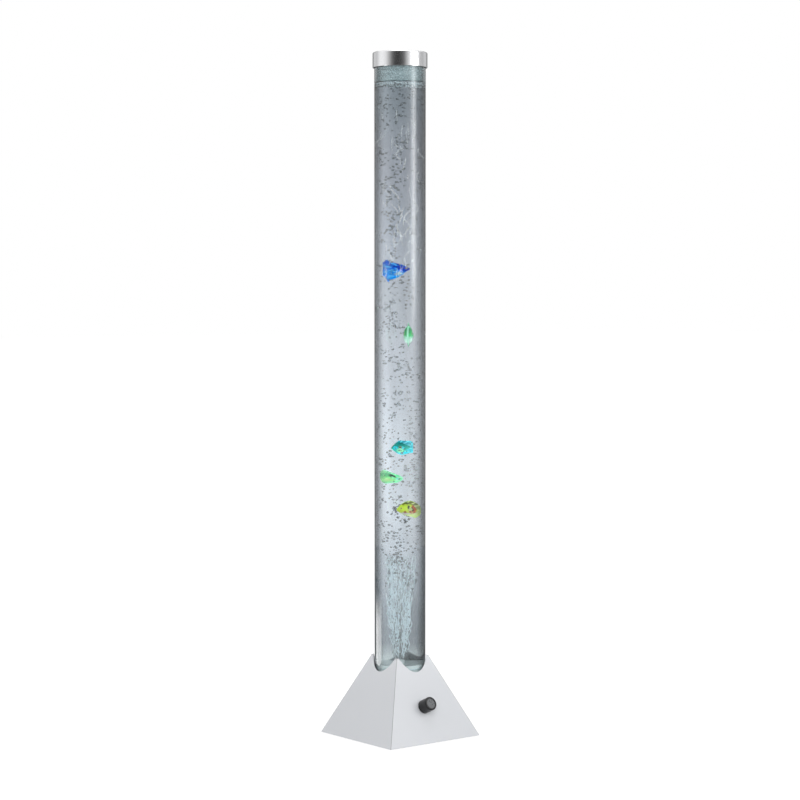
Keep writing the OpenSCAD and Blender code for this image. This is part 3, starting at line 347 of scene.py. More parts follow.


# Painted shade of the water by height, as a share of the column: darkest just above the floor and near the
# surface, lightest about a third of the way up
WATER_SHADE = [(0, (0.2, 0.27, 0.29)), (0.03, (0.07, 0.093, 0.112)), (0.09, (0.1, 0.132, 0.16)),
               (0.143, (0.19, 0.245, 0.3)), (0.257, (0.5, 0.61, 0.72)), (0.37, (0.54, 0.66, 0.78)),
               (0.5, (0.41, 0.49, 0.59)), (0.63, (0.29, 0.35, 0.42)), (0.716, (0.22, 0.27, 0.34)),
               (0.856, (0.13, 0.157, 0.2)), (0.96, (0.065, 0.09, 0.115)), (1, (0.065, 0.09, 0.115))]
STREAK_STRETCH = (90, 90, 9)
# Reach from the middle over which the water's painted shade goes from brighter on the left to darker on the
# right
SIDE_SHADE_REACH = 0.36 * BORE_R


def water_finish():
    """Water with painted shade, a grey-blue tint set by height, streaked and brighter on the left than on the
    right, which it takes where a ray leaves it, so that what floats in it keeps its colours.
    """
    finish = Finish("water", Roughness=0, IOR=1.333, Transmission_Weight=1, Specular_IOR_Level=0.2)
    # painted shade: the water's tint darkens it by height
    tint = finish.ramp(finish.span(finish.height, FLOOR_Z, SURFACE_Z), WATER_SHADE)
    drawn = finish.put("Mapping", {"Vector": finish.place, "Scale": STREAK_STRETCH})
    gain = finish.span(finish.noise(drawn, 1, 3), 0.3, 0.7, 0.86, 1.14)
    across = finish.vector_math("DOT_PRODUCT", finish.place, VIEW_RIGHT)
    # painted light and shade: brighter on the left, darker on the right
    side = finish.span(across, -SIDE_SHADE_REACH, SIDE_SHADE_REACH, 1.25, 0.62)
    tint = finish.scaled(tint, finish.math("MULTIPLY", gain, side))
    leaving = finish.put("NewGeometry", output="Backfacing")
    finish.set(Base_Color=finish.blend(leaving, grey(1), tint))
    return finish.let_lamps_through()


# Painted highlight and shade of a bubble, light in its middle, dark towards its rim and paler at its very
# edge, and its cover, from face-on (0) to edge-on (1)
BUBBLE_SHADE_AND_HIGHLIGHT = [(0, (0.8, 0.88, 0.9)), (0.12, (0.5, 0.56, 0.58)), (0.22, (0.02, 0.03, 0.035)),
                (0.85, (0.015, 0.02, 0.025)), (1, (0.35, 0.4, 0.42))]
BUBBLE_COVER = [(0, 0.2), (0.1, 0.5), (0.16, 0.95), (1, 0.95)]


def bubble_finish():
    """Air in water, which is clear in its middle, with a painted highlight there and painted shade dark at
    its rim.
    """
    finish = Finish("air bubble", Roughness=0.1, Specular_IOR_Level=0.4)
    facing = finish.facing()
    # painted highlight in the middle and painted shade at the rim
    finish.set(Base_Color=finish.ramp(facing, BUBBLE_SHADE_AND_HIGHLIGHT), Alpha=finish.ramp(facing, BUBBLE_COVER))
    return finish.let_lamps_through()


def wisp_finish():
    """Very fine bubbles, which only cloud the water."""
    finish = Finish("fine bubbles", Roughness=0.6, Specular_IOR_Level=0.1)
    finish.surface((0.85, 0.93, 0.95), gloss=False, Mottle_Scale=200)
    finish.set(Alpha=finish.span(finish.noise(finish.place, 500, 3), 0.4, 0.65, 0.04, 0.35))
    return finish.let_lamps_through()


def haze_finish():
    """Fogged plastic: a thin uneven haze, thicker towards the cap."""
    finish = Finish("wall haze", Roughness=0.8, Specular_IOR_Level=0.1)
    finish.surface((0.68, 0.78, 0.8), gloss=False, Mottle_Scale=60)
    level = finish.span(finish.height, SURFACE_Z, shell_low.z, 0.12, 0.4)
    uneven = finish.span(finish.noise(finish.place, 110, 5), 0.3, 0.7, 0.6, 1.3)
    finish.set(Alpha=finish.math("MULTIPLY", level, uneven))
    return finish.material


def brushed_cap_finish():
    """Aluminium brushed round the cap."""
    finish = Finish("brushed aluminium", Metallic=1)
    finish.surface((0.88, 0.885, 0.9), Mottle_Scale=25, Roughness=0.2, Gloss_Shift=0.06, Grain_Scale=1500)
    x, y, z = finish.parts(finish.place)
    radius = finish.vector_math("LENGTH", finish.combine(x, y))
    finish.rule_lines(finish.math("ADD", z, radius), 0.25 * MM, 0.9, 0.008 * MM)
    return finish.material


def winding_finish():
    """Bright wire wound in close turns up the Z axis."""
    finish = Finish("copper winding", Metallic=1)
    finish.surface((0.75, 0.34, 0.16), Roughness=0.3)
    finish.rule_lines(finish.height, 0.5 * MM, 0.15, 0.2 * MM)
    return finish.material


def board_finish():
    """Green circuit board with paler tracks under its coat."""
    finish = Finish("circuit board", Coat_Weight=0.6, Coat_Roughness=0.15)
    tracks = finish.add("TexBrick", {
        "Vector": finish.place, "Color1": (0.012, 0.11, 0.045), "Color2": (0.014, 0.13, 0.05),
        "Mortar": (0.03, 0.22, 0.09), "Scale": 140, "Mortar Size": 0.03}).outputs
    finish.surface(tracks[0], Roughness=0.4)
    finish.emboss(tracks[1], 0.03 * MM)
    return finish.material


def stone_finish():
    """Sintered stone with open pores, darkened by painted shade."""
    finish = Finish("porous stone", Roughness=0.9)
    pores = finish.put("TexVoronoi", {"Vector": finish.place, "Scale": 1400}, "Distance")
    # painted shade: dark in the pores, paler on the stone between them
    stops = [(0, (0.2, 0.3, 0.33)), (0.4, (0.62, 0.72, 0.74)), (1, (0.75, 0.82, 0.83))]
    finish.set(Base_Color=finish.ramp(pores, stops, "EASE"))
    finish.emboss(pores, 0.3 * MM)
    return finish.material


def clear_finish(name, color, sockets, depth=0, **surface):
    """Clear or milky material with slightly uneven colour, and uneven gloss where it is given a roughness."""
    finish = Finish(name, **sockets)
    made = finish.surface(color, gloss="Roughness" in surface, **surface)
    if depth:
        finish.emboss(made["Height"], depth)
    return finish.let_lamps_through()


# Distances from a fold at which its line of painted shade ends and is full
FOLD_SHADE = (0.9 * MM, 0.3 * MM)


def paint_finish():
    """Satin silver-grey paint with a fine orange peel, and a thin dark line of painted shade along each fold.
    """
    finish = Finish("satin paint", Coat_Weight=0.25, Coat_Roughness=0.25)
    made = finish.surface((0.7, 0.717, 0.747), Tint_Shift=0.02, Mottle_Scale=18, Roughness=0.38,
                          Gloss_Shift=0.08, Grain_Scale=520)
    x, y, _ = finish.parts(finish.place)
    gap = finish.math("SUBTRACT", finish.math("ABSOLUTE", x), finish.math("ABSOLUTE", y))
    fold = finish.span(finish.math("ABSOLUTE", gap), *FOLD_SHADE, 0, 0.8)
    # painted shade: a dark line along each fold of the housing
    finish.set(Base_Color=finish.blend(fold, made["Color"], grey(0.2)))
    finish.emboss(made["Height"], 0.0015 * MM)
    return finish.material


# Colour, roughness, tint shift and mottle scale of the plain metals
METALS = {
    "zinc_plate": ((0.52, 0.53, 0.55), 0.38, 0.2, 90),
    "zinc_screw": ((0.68, 0.69, 0.71), 0.24, 0.1, 200),
    "brass_post": ((0.78, 0.56, 0.26), 0.28, 0.12, 120),
    "core_iron": ((0.3, 0.3, 0.31), 0.45, 0.3, 150),
    "magnet": ((0.16, 0.16, 0.17), 0.35, 0.2, 40),
    "bright_steel": ((0.66, 0.66, 0.68), 0.22, 0.08, 150),
    "contact_brass": ((0.86, 0.66, 0.3), 0.15, 0.06, 200),
}
MILKY = dict(Subsurface_Scale=0.002)
CLEAR = dict(Transmission_Weight=1)
# Colour and roughness of the other solid finishes, and what else each of them has
SOLIDS = {
    "black_rubber": ((0.022, 0.022, 0.023), 0.75, dict(tint=0.3, depth=0.05 * MM)),
    "seal_rubber": ((0.5, 0.64, 0.68), 0.5, dict(tint=0.15, depth=0.03 * MM)),
    "white_moulding": ((0.78, 0.79, 0.79), 0.45, dict(tint=0.04, Subsurface_Weight=0.1, **MILKY)),
    "pale_foam": ((0.66, 0.74, 0.76), 0.9, dict(tint=0.15, grain=1600, depth=0.2 * MM)),
    "nylon": ((0.76, 0.75, 0.69), 0.5, dict(Subsurface_Weight=0.15, **MILKY)),
    "pump_shell": ((0.035, 0.036, 0.039), 0.5, dict(tint=0.2, depth=0.05 * MM)),
    "blue_plastic": ((0.12, 0.35, 0.62), 0.25, dict(Coat_Weight=0.3)),
    "component_black": ((0.02, 0.02, 0.022), 0.45, dict(tint=0.25)),
    "knob_black": ((0.007, 0.007, 0.008), 0.32, dict(tint=0.3, mottle=120, depth=0.03 * MM)),
    "knob_grey": ((0.12, 0.125, 0.13), 0.28, dict(tint=0.1, mottle=150, Metallic=0.6)),
    "inlet_black": ((0.018, 0.018, 0.02), 0.4, dict(tint=0.25)),
    "wire_insulation": ((0.5, 0.03, 0.025), 0.45, dict(tint=0.15)),
}
FINISHES = {
    "satin_paint": paint_finish(),
    "clear_acrylic": tube_finish(),
    "clear_plug": clear_finish("clear plug", (0.8, 0.95, 0.97), dict(IOR=1.4, Transmission_Weight=0.4),
                               Tint_Shift=0.1, Roughness=0.2),
    "porous_stone": stone_finish(),
    "water": water_finish(),
    "brushed_cap": brushed_cap_finish(),
    "circuit_board": board_finish(),
    "light_dome": clear_finish("light dome", (0.9, 0.95, 1), dict(Roughness=0.05, IOR=1.5, **CLEAR)),
    "clear_hose": clear_finish("clear hose", (0.88, 0.91, 0.91), dict(Roughness=0.15, IOR=1.42, **CLEAR)),
    "copper_winding": winding_finish(),
}
for slot, (color, roughness, tint, mottle) in METALS.items():
    FINISHES[slot] = solid_finish(slot, color, roughness, tint, mottle, Metallic=1)
for slot, (color, roughness, extras) in SOLIDS.items():
    FINISHES[slot] = solid_finish(slot, color, roughness, **extras)
AIR_BUBBLE = bubble_finish()
# Milky froth of bubbles too small to see one by one
FROTH = clear_finish("white froth", (0.76, 0.87, 0.91), dict(Transmission_Weight=0.15, IOR=1.2), 0.1 * MM,
                     Tint_Shift=0.15, Mottle_Scale=260, Roughness=0.35, Gloss_Shift=0.2, Grain_Scale=1500)
WISPS = wisp_finish()


def dress_frame():
    """Gives each carried-over CAD node the finish of its slot."""
    slots = {row["node"]: row["material_slot"] for row in frame["record"]["subparts"]}
    for name, node in frame["nodes"].items():
        finish = FINISHES.get(slots[name])
        if finish is not None:
            node.data.materials.clear()
            node.data.materials.append(finish)


# ---------------------------------------------------------------- mesh making

def add_object(name, data):
    """New object in the scene."""
    thing = bpy.data.objects.new(name, data)
    bpy.context.scene.collection.objects.link(thing)
    return thing


def add_mesh(bm, name, finish):
    """Turns a bmesh into an object with its finish."""
    mesh = bpy.data.meshes.new(name)
    bm.to_mesh(mesh)
    bm.free()
    mesh.materials.append(finish)
    return add_object(name, mesh)


def add_piece(bm, name, body, slot, finish=None, replaced=(), crease=35):
    """Piece that rides on a body, smooth except across its creases, in its slot's finish or its own."""
    piece = add_mesh(bm, name, finish or FINISHES[slot])
    piece.data.shade_smooth()
    piece.data.set_sharp_from_angle(angle=math.radians(crease))
    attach(piece, body)
    if replaced:
        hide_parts(*replaced)
    return piece


def clean(bm):
    """Merges doubles and turns the faces outwards."""
    bmesh.ops.remove_doubles(bm, verts=bm.verts[:], dist=MERGE_GAP)
    bmesh.ops.recalc_face_normals(bm, faces=bm.faces[:])


def lathe(outline, closed=False):
    """Turns an outline of (radius, height) points round the Z axis."""
    bm = bmesh.new()
    verts = [bm.verts.new((radius, 0, height)) for radius, height in outline]
    pairs = list(zip(verts, verts[1:])) + ([(verts[-1], verts[0])] if closed else [])
    edges = [bm.edges.new(pair) for pair in pairs]
    bmesh.ops.spin(bm, geom=verts + edges, cent=(0, 0, 0), axis=(0, 0, 1), angle=math.tau, steps=ROUND_STEPS,
                   use_merge=True)
    clean(bm)
    return bm


def arc(center, radius, start, end, count):
    """Points on an arc of an outline, angles in degrees."""
    turns = [math.radians(start + (end - start) * i / count) for i in range(count + 1)]
    return [(center[0] + radius * math.cos(a), center[1] + radius * math.sin(a)) for a in turns]


def round_point(turn, radius, z=0):
    """Point at a turn and a radius from the Z axis."""
    return Vector((radius * math.cos(turn), radius * math.sin(turn), z))


def eased_copy(node, width, flat=1, sharp=30):
    """Copy of a CAD node with flat faces joined and its sharp edges eased, angles in degrees."""
    bm = bmesh.new()
    bm.from_mesh(frame["nodes"][node].data)
    bmesh.ops.remove_doubles(bm, verts=bm.verts[:], dist=MERGE_GAP)
    bmesh.ops.dissolve_limit(bm, angle_limit=math.radians(flat), verts=bm.verts[:], edges=bm.edges[:])
    edges = [e for e in bm.edges if len(e.link_faces) == 2 and e.calc_face_angle() > math.radians(sharp)]
    bmesh.ops.bevel(bm, geom=edges, offset=width, offset_type="OFFSET", affect="EDGES", segments=2,
                    profile=0.5, clamp_overlap=True, material=-1)
    return bm


def smooth_curve(points, x):
    """Smooth value at x through (x, value) points."""
    if x <= points[0][0]:
        return points[0][1]
    if x >= points[-1][0]:
        return points[-1][1]
    i = next(i for i in range(len(points) - 1) if x <= points[i + 1][0])
    (x0, y0), (x1, y1) = points[i], points[i + 1]
    before, after = points[max(i - 1, 0)], points[min(i + 2, len(points) - 1)]
    span = x1 - x0
    slope0 = (y1 - before[1]) / (x1 - before[0]) * span
    slope1 = (after[1] - y0) / (after[0] - x0) * span
    t = (x - x0) / span
    return ((2 * t ** 3 - 3 * t ** 2 + 1) * y0 + (t ** 3 - 2 * t ** 2 + t) * slope0
            + (3 * t ** 2 - 2 * t ** 3) * y1 + (t ** 3 - t ** 2) * slope1)


# ---------------------------------------------------------------- tube, water, cap, base

def make_tube():
    """Clear tube with eased ends."""
    low, high, ease = tube_low.z, tube_high.z, TUBE_EASE
    outline = [(BORE_R, low + ease), (BORE_R + ease, low), (TUBE_R - ease, low), (TUBE_R, low + ease),
               (TUBE_R, high - ease), (TUBE_R - ease, high), (BORE_R + ease, high), (BORE_R, high - ease)]
    add_piece(lathe(outline, closed=True), "clear_tube", "stand", "clear_acrylic", replaced=["tube"])


def make_water():
    """Water with a curved edge, which laps its container by a hair, so that no film of air shows."""
    radius = BORE_R + LIQUID_LAP
    outline = [(0, FLOOR_Z - LIQUID_LAP), (radius, FLOOR_Z - LIQUID_LAP), (radius, SURFACE_Z + MENISCUS_RISE)]
    for i in range(1, MENISCUS_STEPS + 1):
        share = i / MENISCUS_STEPS
        outline.append((radius - MENISCUS_REACH * share, SURFACE_Z + MENISCUS_RISE * math.exp(-3.5 * share)))
    outline.append((0, SURFACE_Z))
    add_piece(lathe(outline), "water_column", "stand", "water", replaced=["water"])


def make_cap():
    """Spun cap with a rounded top edge and a plain lower edge."""
    low, high, inside = shell_low.z, shell_high.z, CAP_R - CAP_WALL
    middle = (CAP_R - CAP_EDGE_R, high - CAP_EDGE_R)
    outline = ([(0, high)] + arc(middle, CAP_EDGE_R, 90, 0, 6)
               + [(CAP_R, low + CAP_EASE), (CAP_R - CAP_EASE, low), (inside + CAP_EASE, low),
                  (inside, low + CAP_EASE)]
               + arc(middle, CAP_EDGE_R - CAP_WALL, 0, 90, 4) + [(0, high - CAP_WALL)])
    add_piece(lathe(outline), "cap_skin", "cap", "brushed_cap", replaced=["cap_shell"])


def make_base():
    """Folded housing with eased folds and edges, whose large faces stay evenly lit."""
    bm = eased_copy("base_housing", FOLD_EASE)
    skin = add_piece(bm, "housing_skin", "stand", "satin_paint", replaced=["base_housing"], crease=50)
    shading = skin.modifiers.new("even shading", "WEIGHTED_NORMAL")
    shading.keep_sharp = True


# ---------------------------------------------------------------- bubbles

BUBBLE_SIDES = 8
BUBBLE_RINGS = 6


class Bubbles:
    """Collects small round bubbles, which become one mesh."""

    def __init__(self, finish=AIR_BUBBLE):
        self.shapes = []
        self.finish = finish

    def add(self, place, radius, stretch=1, lean=0, turn=0):
        """One bubble, stretched along a leaning axis."""
        self.shapes.append(
            Matrix.Translation(place) @ Matrix.Rotation(turn, 4, "Z") @ Matrix.Rotation(lean, 4, "X")
            @ Matrix.Diagonal((radius, radius, radius * stretch, 1)))

    def make(self, name):
        """Makes the piece: one small sphere, doubled until there are enough, each then put in its place."""
        bm = bmesh.new()
        ball = bmesh.ops.create_uvsphere(bm, u_segments=BUBBLE_SIDES, v_segments=BUBBLE_RINGS, radius=1)
        balls = [ball["verts"]]
        while len(balls) < len(self.shapes):
            doubled = bmesh.ops.duplicate(bm, geom=bm.verts[:] + bm.edges[:] + bm.faces[:])["vert_map"]
            balls += [[doubled[vert] for vert in ball] for ball in balls]
        for ball, shape in zip(balls, self.shapes):
            for vert in ball:
                vert.co = shape @ vert.co
        spare = [vert for ball in balls[len(self.shapes):] for vert in ball]
        bmesh.ops.delete(bm, geom=spare, context="VERTS")
        add_piece(bm, name, "stand", "water", self.finish, crease=180)


FISH_MARGIN = Vector((1, 1, 1)) * 0.5 * MM
FISH_BOXES = [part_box(name) for name in frame["nodes"] if name.startswith("fish_")]


def clear_of_fish(place):
    """Whether a point lies outside the box of every fish at rest, and its margin."""
    return not any(all(low[i] - FISH_MARGIN[i] < place[i] < high[i] + FISH_MARGIN[i] for i in range(3))
                   for low, high in FISH_BOXES)


PLUME_LOW = STONE_TOP + 1 * MM
PLUME_TOP = 0.32
COLUMN_R = 38 * MM
# Radius that the stream of bubbles fills, by height
PLUME_RADII = [(0.137, 0.01), (0.17, 0.013), (0.205, 0.017), (0.24, 0.02), (0.31, 0.023), (0.4, 0.031),
               (0.5, 0.038)]
STREAM_COUNT = 600
RISING_COUNT = 1600
CLUMP_SIZES = (1, 1, 1, 2, 3, 5, 8)
CLUMP_SPREAD = (3, 3, 6)
RISING_RADII = (0.8, 1, 1.2, 1.4, 1.7)


def scatter(rng, z):
    """Point within the stream at a height."""
    radius = smooth_curve(PLUME_RADII, z) * math.sqrt(rng.random())
    return round_point(rng.uniform(0, math.tau), radius, z)


def make_plume():
    """Dense stream above the stone, drawn out by its speed."""
    rng = random.Random(4)
    stream = Bubbles()
    for _ in range(STREAM_COUNT):
        place = scatter(rng, PLUME_LOW + (PLUME_TOP - PLUME_LOW) * rng.random() ** 1.3)
        if clear_of_fish(place):
            stream.add(place, rng.uniform(0.35, 0.8) * MM, rng.uniform(1.2, 3.5), rng.uniform(-0.35, 0.35),
                       rng.uniform(0, math.tau))
    stream.make("bubble_stream")


def make_rising():
    """Loose bubbles up the rest of the column, in small clumps."""
    rng = random.Random(11)
    loose = Bubbles()
    low, high = PLUME_TOP - 50 * MM, SURFACE_Z - 10 * MM
    while len(loose.shapes) < RISING_COUNT:
        middle = scatter(rng, low + (high - low) * rng.random())
        for _ in range(rng.choice(CLUMP_SIZES)):
            place = middle + Vector([rng.gauss(0, spread) for spread in CLUMP_SPREAD]) * MM
            inside = math.hypot(place.x, place.y) < COLUMN_R and place.z < SURFACE_Z - 6 * MM
            if inside and clear_of_fish(place):
                radius = rng.choice(RISING_RADII) * rng.uniform(0.85, 1.1) * MM
                loose.add(place, radius, rng.uniform(0.75, 1.1))
    loose.make("rising_bubbles")


STREAK_SIDES = 6
STREAK_STEPS = 26
# Name, finish, count, lowest and highest point, greatest length, girth and sway in mm of each kind of thread
STREAKS = (("stream_threads", AIR_BUBBLE, 18, PLUME_LOW, PLUME_TOP, 0.11, 0.6, 2.2),
           ("froth_threads", FROTH, 96, PLUME_LOW, PLUME_TOP, 0.12, 0.85, 3.2),
           ("upper_wisps", WISPS, 60, 0.8, SURFACE_Z - 10 * MM, 0.04, 1.3, 6))


def add_streak(bm, rng, low, high, thick, swing):
    """Wavy thread of fine bubbles: a grid rolled round a rising path."""
    turn = rng.uniform(0, math.tau)
    reach = math.sqrt(rng.uniform(0.02, 1))
    wave, sway, phase = rng.uniform(0.02, 0.05), rng.uniform(0.3, 1) * swing * MM, rng.uniform(0, math.tau)
    made = bmesh.ops.create_grid(bm, x_segments=STREAK_STEPS, y_segments=STREAK_SIDES, size=1)
    for vert in made["verts"]:
        along = (vert.co.x + 1) / 2
        around = math.pi * (vert.co.y + 1)
        z = low + (high - low) * along
        radius = reach * smooth_curve(PLUME_RADII, z) * 0.9
        shift = sway * math.sin(math.tau * z / wave + phase)
        girth = thick * math.sqrt(max(0, math.sin(math.pi * along)))
        girth *= 1 + 0.35 * math.sin(math.tau * z / wave * 2.3)
        vert.co = round_point(turn, radius, z) + round_point(phase, shift) + round_point(around, girth)


def make_streaks():
    """Threads of fine bubbles that wind up from the stone, and a few wisps near the surface."""
    rng = random.Random(31)
    for name, finish, count, bottom, top, length, girth, swing in STREAKS:
        bm = bmesh.new()
        for _ in range(count):
            low = bottom + rng.random() ** 1.8 * 0.85 * (top - bottom)
            high = min(low + rng.uniform(0.4, 1) * length, top)
            add_streak(bm, rng, low, high, rng.uniform(0.5, 1) * girth * MM, swing)
        clean(bm)
        add_piece(bm, name, "stand", "water", finish, crease=180)


DROPLET_COUNT = 900
# Name, finish, count and depth in mm of what gathers at the surface
FOAMS = (("surface_foam", FROTH, 900, 1.2), ("surface_bubbles", AIR_BUBBLE, 160, 3.5))


def make_droplets():
    """Droplets that settle on the dry wall above the water."""
    rng = random.Random(41)
    mist = Bubbles(FROTH)
    for _ in range(DROPLET_COUNT):
        turn = rng.uniform(0, math.tau)
        radius = rng.uniform(0.25, 0.7) * MM
        z = rng.uniform(SURFACE_Z + 3 * MM, tube_high.z - 6 * MM)
        mist.add(round_point(turn, BORE_R - 0.1 * MM, z), radius)
    mist.make("wall_droplets")


def make_haze():
    """Thin haze on the dry wall."""
    low, high = SURFACE_Z + MENISCUS_RISE + 0.3 * MM, tube_high.z - 1 * MM
    outer, inner = BORE_R - 0.05 * MM, BORE_R - 0.15 * MM
    outline = [(inner, low), (outer, low), (outer, high), (inner, high)]
    add_piece(lathe(outline, closed=True), "wall_haze", "stand", "water", haze_finish())


def make_foam():
    """Bubbles that gather at the surface and against the wall."""
    rng = random.Random(23)
    for name, finish, count, depth in FOAMS:
        foam = Bubbles(finish)
        for _ in range(count):
            turn = rng.uniform(0, math.tau)
            radius = rng.uniform(0.4, 1.5) * MM
            reach = (BORE_R - radius - 0.3 * MM) * math.sqrt(rng.uniform(0.45, 1))
            drop = abs(rng.gauss(0, depth)) * MM * (0.5 + 1.2 * abs(math.sin(turn * 1.5 + 0.6)))
            foam.add(round_point(turn, reach, SURFACE_Z - drop - radius), radius)
        foam.make(name)


# ---------------------------------------------------------------- fish

# Half width along a fish's body, from the tail's root (-1) to the nose (1), as a share of its greatest
FISH_WIDTHS = [(-1, 0.12), (-0.7, 0.3), (-0.3, 0.7), (0.1, 0.96), (0.35, 1), (0.65, 0.82), (0.9, 0.42),
               (1, 0.1)]
# Share of the fish's outline that its body fills, the rest being fin, from the tail to the nose
BODY_SHARES = [(-0.5, 0.1), (-0.32, 0.2), (-0.1, 0.55), (0.1, 0.72), (0.3, 0.88), (0.5, 1)]
BODY_REAR = -0.36
FIN_T = 0.8 * MM
FIN_RAYS = 9
FIN_LENGTH = 0.86
FIN_ROOT = 0.16
FIN_STREAKS = 17
SCALE_COUNT = 22
SKIN_SWAY = 0.28


class Fish:
    """One moulded fish: its heading in degrees, size in mm, and outline in shares of length and height."""

    def __init__(self, name, heading, size, top, bottom, fill=1):
        self.node, self.body = "fish_" + name, name + "_fish"
        low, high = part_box(self.node)
        self.center = (low + high) / 2
        self.heading = VIEW_TURN + math.radians(heading)
        self.length, self.tall, self.width = (side * MM for side in size)
        self.top, self.bottom, self.fill = top, bottom, fill
        self.matrix = Matrix.Translation(self.center) @ Matrix.Rotation(self.heading, 4, "Z")

    def middle(self, x):
        """Height of the outline's middle at a share of the length."""
        return (smooth_curve(self.top, x) + smooth_curve(self.bottom, x)) / 2 * self.tall

    def half(self, x):
        """Half height of the outline."""
        return (smooth_curve(self.top, x) - smooth_curve(self.bottom, x)) / 2 * self.tall

    def body_half(self, x):
        """Half height of the body."""
        return self.half(x) * min(1, smooth_curve(BODY_SHARES, x) * self.fill)

    def body_side(self, x):
        """Half width of the body."""
        return smooth_curve(FISH_WIDTHS, 2 * (x - BODY_REAR) / (0.5 - BODY_REAR) - 1) * self.width / 2

    def coordinates(self, finish, size=None):
        """Place on the fish, seen from its side, in shares of its length and height or of a given size."""
        place = finish.put("Mapping", {
            "Vector": finish.place, "Location": self.center, "Rotation": (0, 0, self.heading),
            "Scale": size or (self.length, self.length, self.tall)}, vector_type="TEXTURE")
        return place, finish.parts(place)

    def add(self, bm, part, finish, replaced=()):
        """Makes one of the fish's pieces."""
        add_piece(bm, self.node + "_" + part, self.body, self.node, finish, replaced, crease=60)


def fish_body(fish):
    """Body: a sphere shaped along its length."""
    bm = bmesh.new()
    turned = Matrix.Rotation(math.radians(90), 4, "Y")
    bmesh.ops.create_uvsphere(bm, u_segments=28, v_segments=30, radius=1, matrix=turned)
    for vert in bm.verts:
        x, y, z = vert.co
        share = BODY_REAR + (0.5 - BODY_REAR) * (x + 1) / 2
        girth = math.hypot(y, z)
        round_y, round_z = (y / girth, z / girth) if girth > MERGE_GAP else (0, 0)
        vert.co = Vector((share * fish.length, round_y * fish.body_side(share),
                          fish.middle(share) + round_z * fish.body_half(share)))
    bmesh.ops.transform(bm, matrix=fish.matrix, verts=bm.verts[:])
    bmesh.ops.recalc_face_normals(bm, faces=bm.faces[:])
    return bm


def thicken(bm, faces):
    """Gives a thin sheet its thickness."""
    bmesh.ops.recalc_face_normals(bm, faces=faces)
    bmesh.ops.solidify(bm, geom=faces, thickness=FIN_T)


def fin_sheet(fish):
    """Tail and fins: one thin ribbed sheet with the fish's outline, its edge cut between the rays."""
    bm = bmesh.new()
    made = bmesh.ops.create_grid(bm, x_segments=FIN_RAYS * 4, y_segments=16, size=1)
    for vert in made["verts"]:
        along, across = (vert.co.x + 1) / 2, vert.co.y
        x = -0.5 + FIN_LENGTH * along
        wave = math.cos(math.tau * FIN_RAYS * along)
        rim = 1 - 0.035 * (1 - wave)
        notch = 0.006 * (1 + math.cos(math.tau * 3.5 * across)) * max(0, -vert.co.x) ** 3
        ridge = 0.15 * MM * wave * abs(across)
        vert.co = Vector(((x + notch) * fish.length, ridge, fish.middle(x) + across * fish.half(x) * rim))
    thicken(bm, bm.faces[:])
    return bm


def add_side_fins(bm, fish, reach, drop, splay):
    """Leaf-shaped fins on both sides, swept back from behind the head."""
    for sign in (-1, 1):
        made = bmesh.ops.create_grid(bm, x_segments=14, y_segments=6, size=1)
        for vert in made["verts"]:
            along, across = (vert.co.x + 1) / 2, vert.co.y
            leaf = math.sin(math.pi * min(1, 0.12 + 0.88 * along)) ** 0.7 * 0.11 * fish.tall
            side = fish.body_side(FIN_ROOT) * 0.72 + splay * MM * along
            vert.co = Vector(((FIN_ROOT - reach * along) * fish.length, sign * side,
                              fish.middle(FIN_ROOT) - drop * fish.tall * along + across * leaf))
        bmesh.ops.remove_doubles(bm, verts=made["verts"], dist=MERGE_GAP)
        thicken(bm, list({face for vert in made["verts"] if vert.is_valid for face in vert.link_faces}))


def fish_eyes(fish, x, z, radius):
    """Two domed eyes set into the sides of the head."""
    bm = bmesh.new()
    share = min(0.9, abs(z - fish.middle(x)) / fish.body_half(x))
    side = fish.body_side(x) * math.sqrt(1 - share ** 2) - 0.3 * MM
    for sign in (-1, 1):
        shape = (Matrix.Translation((x * fish.length, sign * side, z))
                 @ Matrix.Diagonal((radius, radius * 0.55, radius, 1)))
        bmesh.ops.create_uvsphere(bm, u_segments=20, v_segments=14, radius=1, matrix=fish.matrix @ shape)
    return bm


def oval_mask(finish, x, z, middle_x, middle_z, wide, high):
    """1 inside an oval patch with a soft edge, given in shares of the fish's length and height."""
    gap_x = finish.math("DIVIDE", finish.math("SUBTRACT", x, middle_x), wide)
    gap_z = finish.math("DIVIDE", finish.math("SUBTRACT", z, middle_z), high)
    return finish.span(finish.vector_math("LENGTH", finish.combine(gap_x, z=gap_z)), 1, 0.5)


def fish_skin(fish, stops, tilt=0, patches=(), seam=None):
    """Glossy skin: colours from belly (0) to back (1) along a tilted line, patches, a seam, and scales with
    painted shade in the grooves between them.
    """
    finish = Finish(fish.node + " skin", Roughness=0.3, Specular_IOR_Level=0.3, Coat_Weight=0.2,
                    Coat_Roughness=0.08)
    place, (x, y, z) = fish.coordinates(finish)
    sway = finish.math("MULTIPLY", finish.math("SUBTRACT", finish.noise(place, 8, 4), 0.5), SKIN_SWAY)
    level = finish.math("ADD", finish.math("MULTIPLY_ADD", x, tilt, z), 0.5)
    color = finish.ramp(finish.math("ADD", level, sway, clamp=True), stops)
    moved_x, moved_z = finish.math("MULTIPLY_ADD", sway, 0.5, x), finish.math("ADD", z, sway)
    for *oval, mark in patches:
        color = finish.blend(oval_mask(finish, moved_x, moved_z, *oval), color, mark)
    if seam:
        color = finish.blend(finish.span(finish.math("ABSOLUTE", y), 0.06, 0.02, 0, 0.9), color, seam)
    scales = finish.place_group(SCALES, Vector=place, Count=SCALE_COUNT)
    # painted shade: the colour darkens towards the grooves between the scales
    shade = finish.blend(1, color, grey(0.5), "MULTIPLY")
    finish.set(Base_Color=finish.blend(finish.math("MULTIPLY", scales["Rim"], 0.4), color, shade))
    finish.emboss(scales["Height"], 0.12 * MM)
    return finish.material


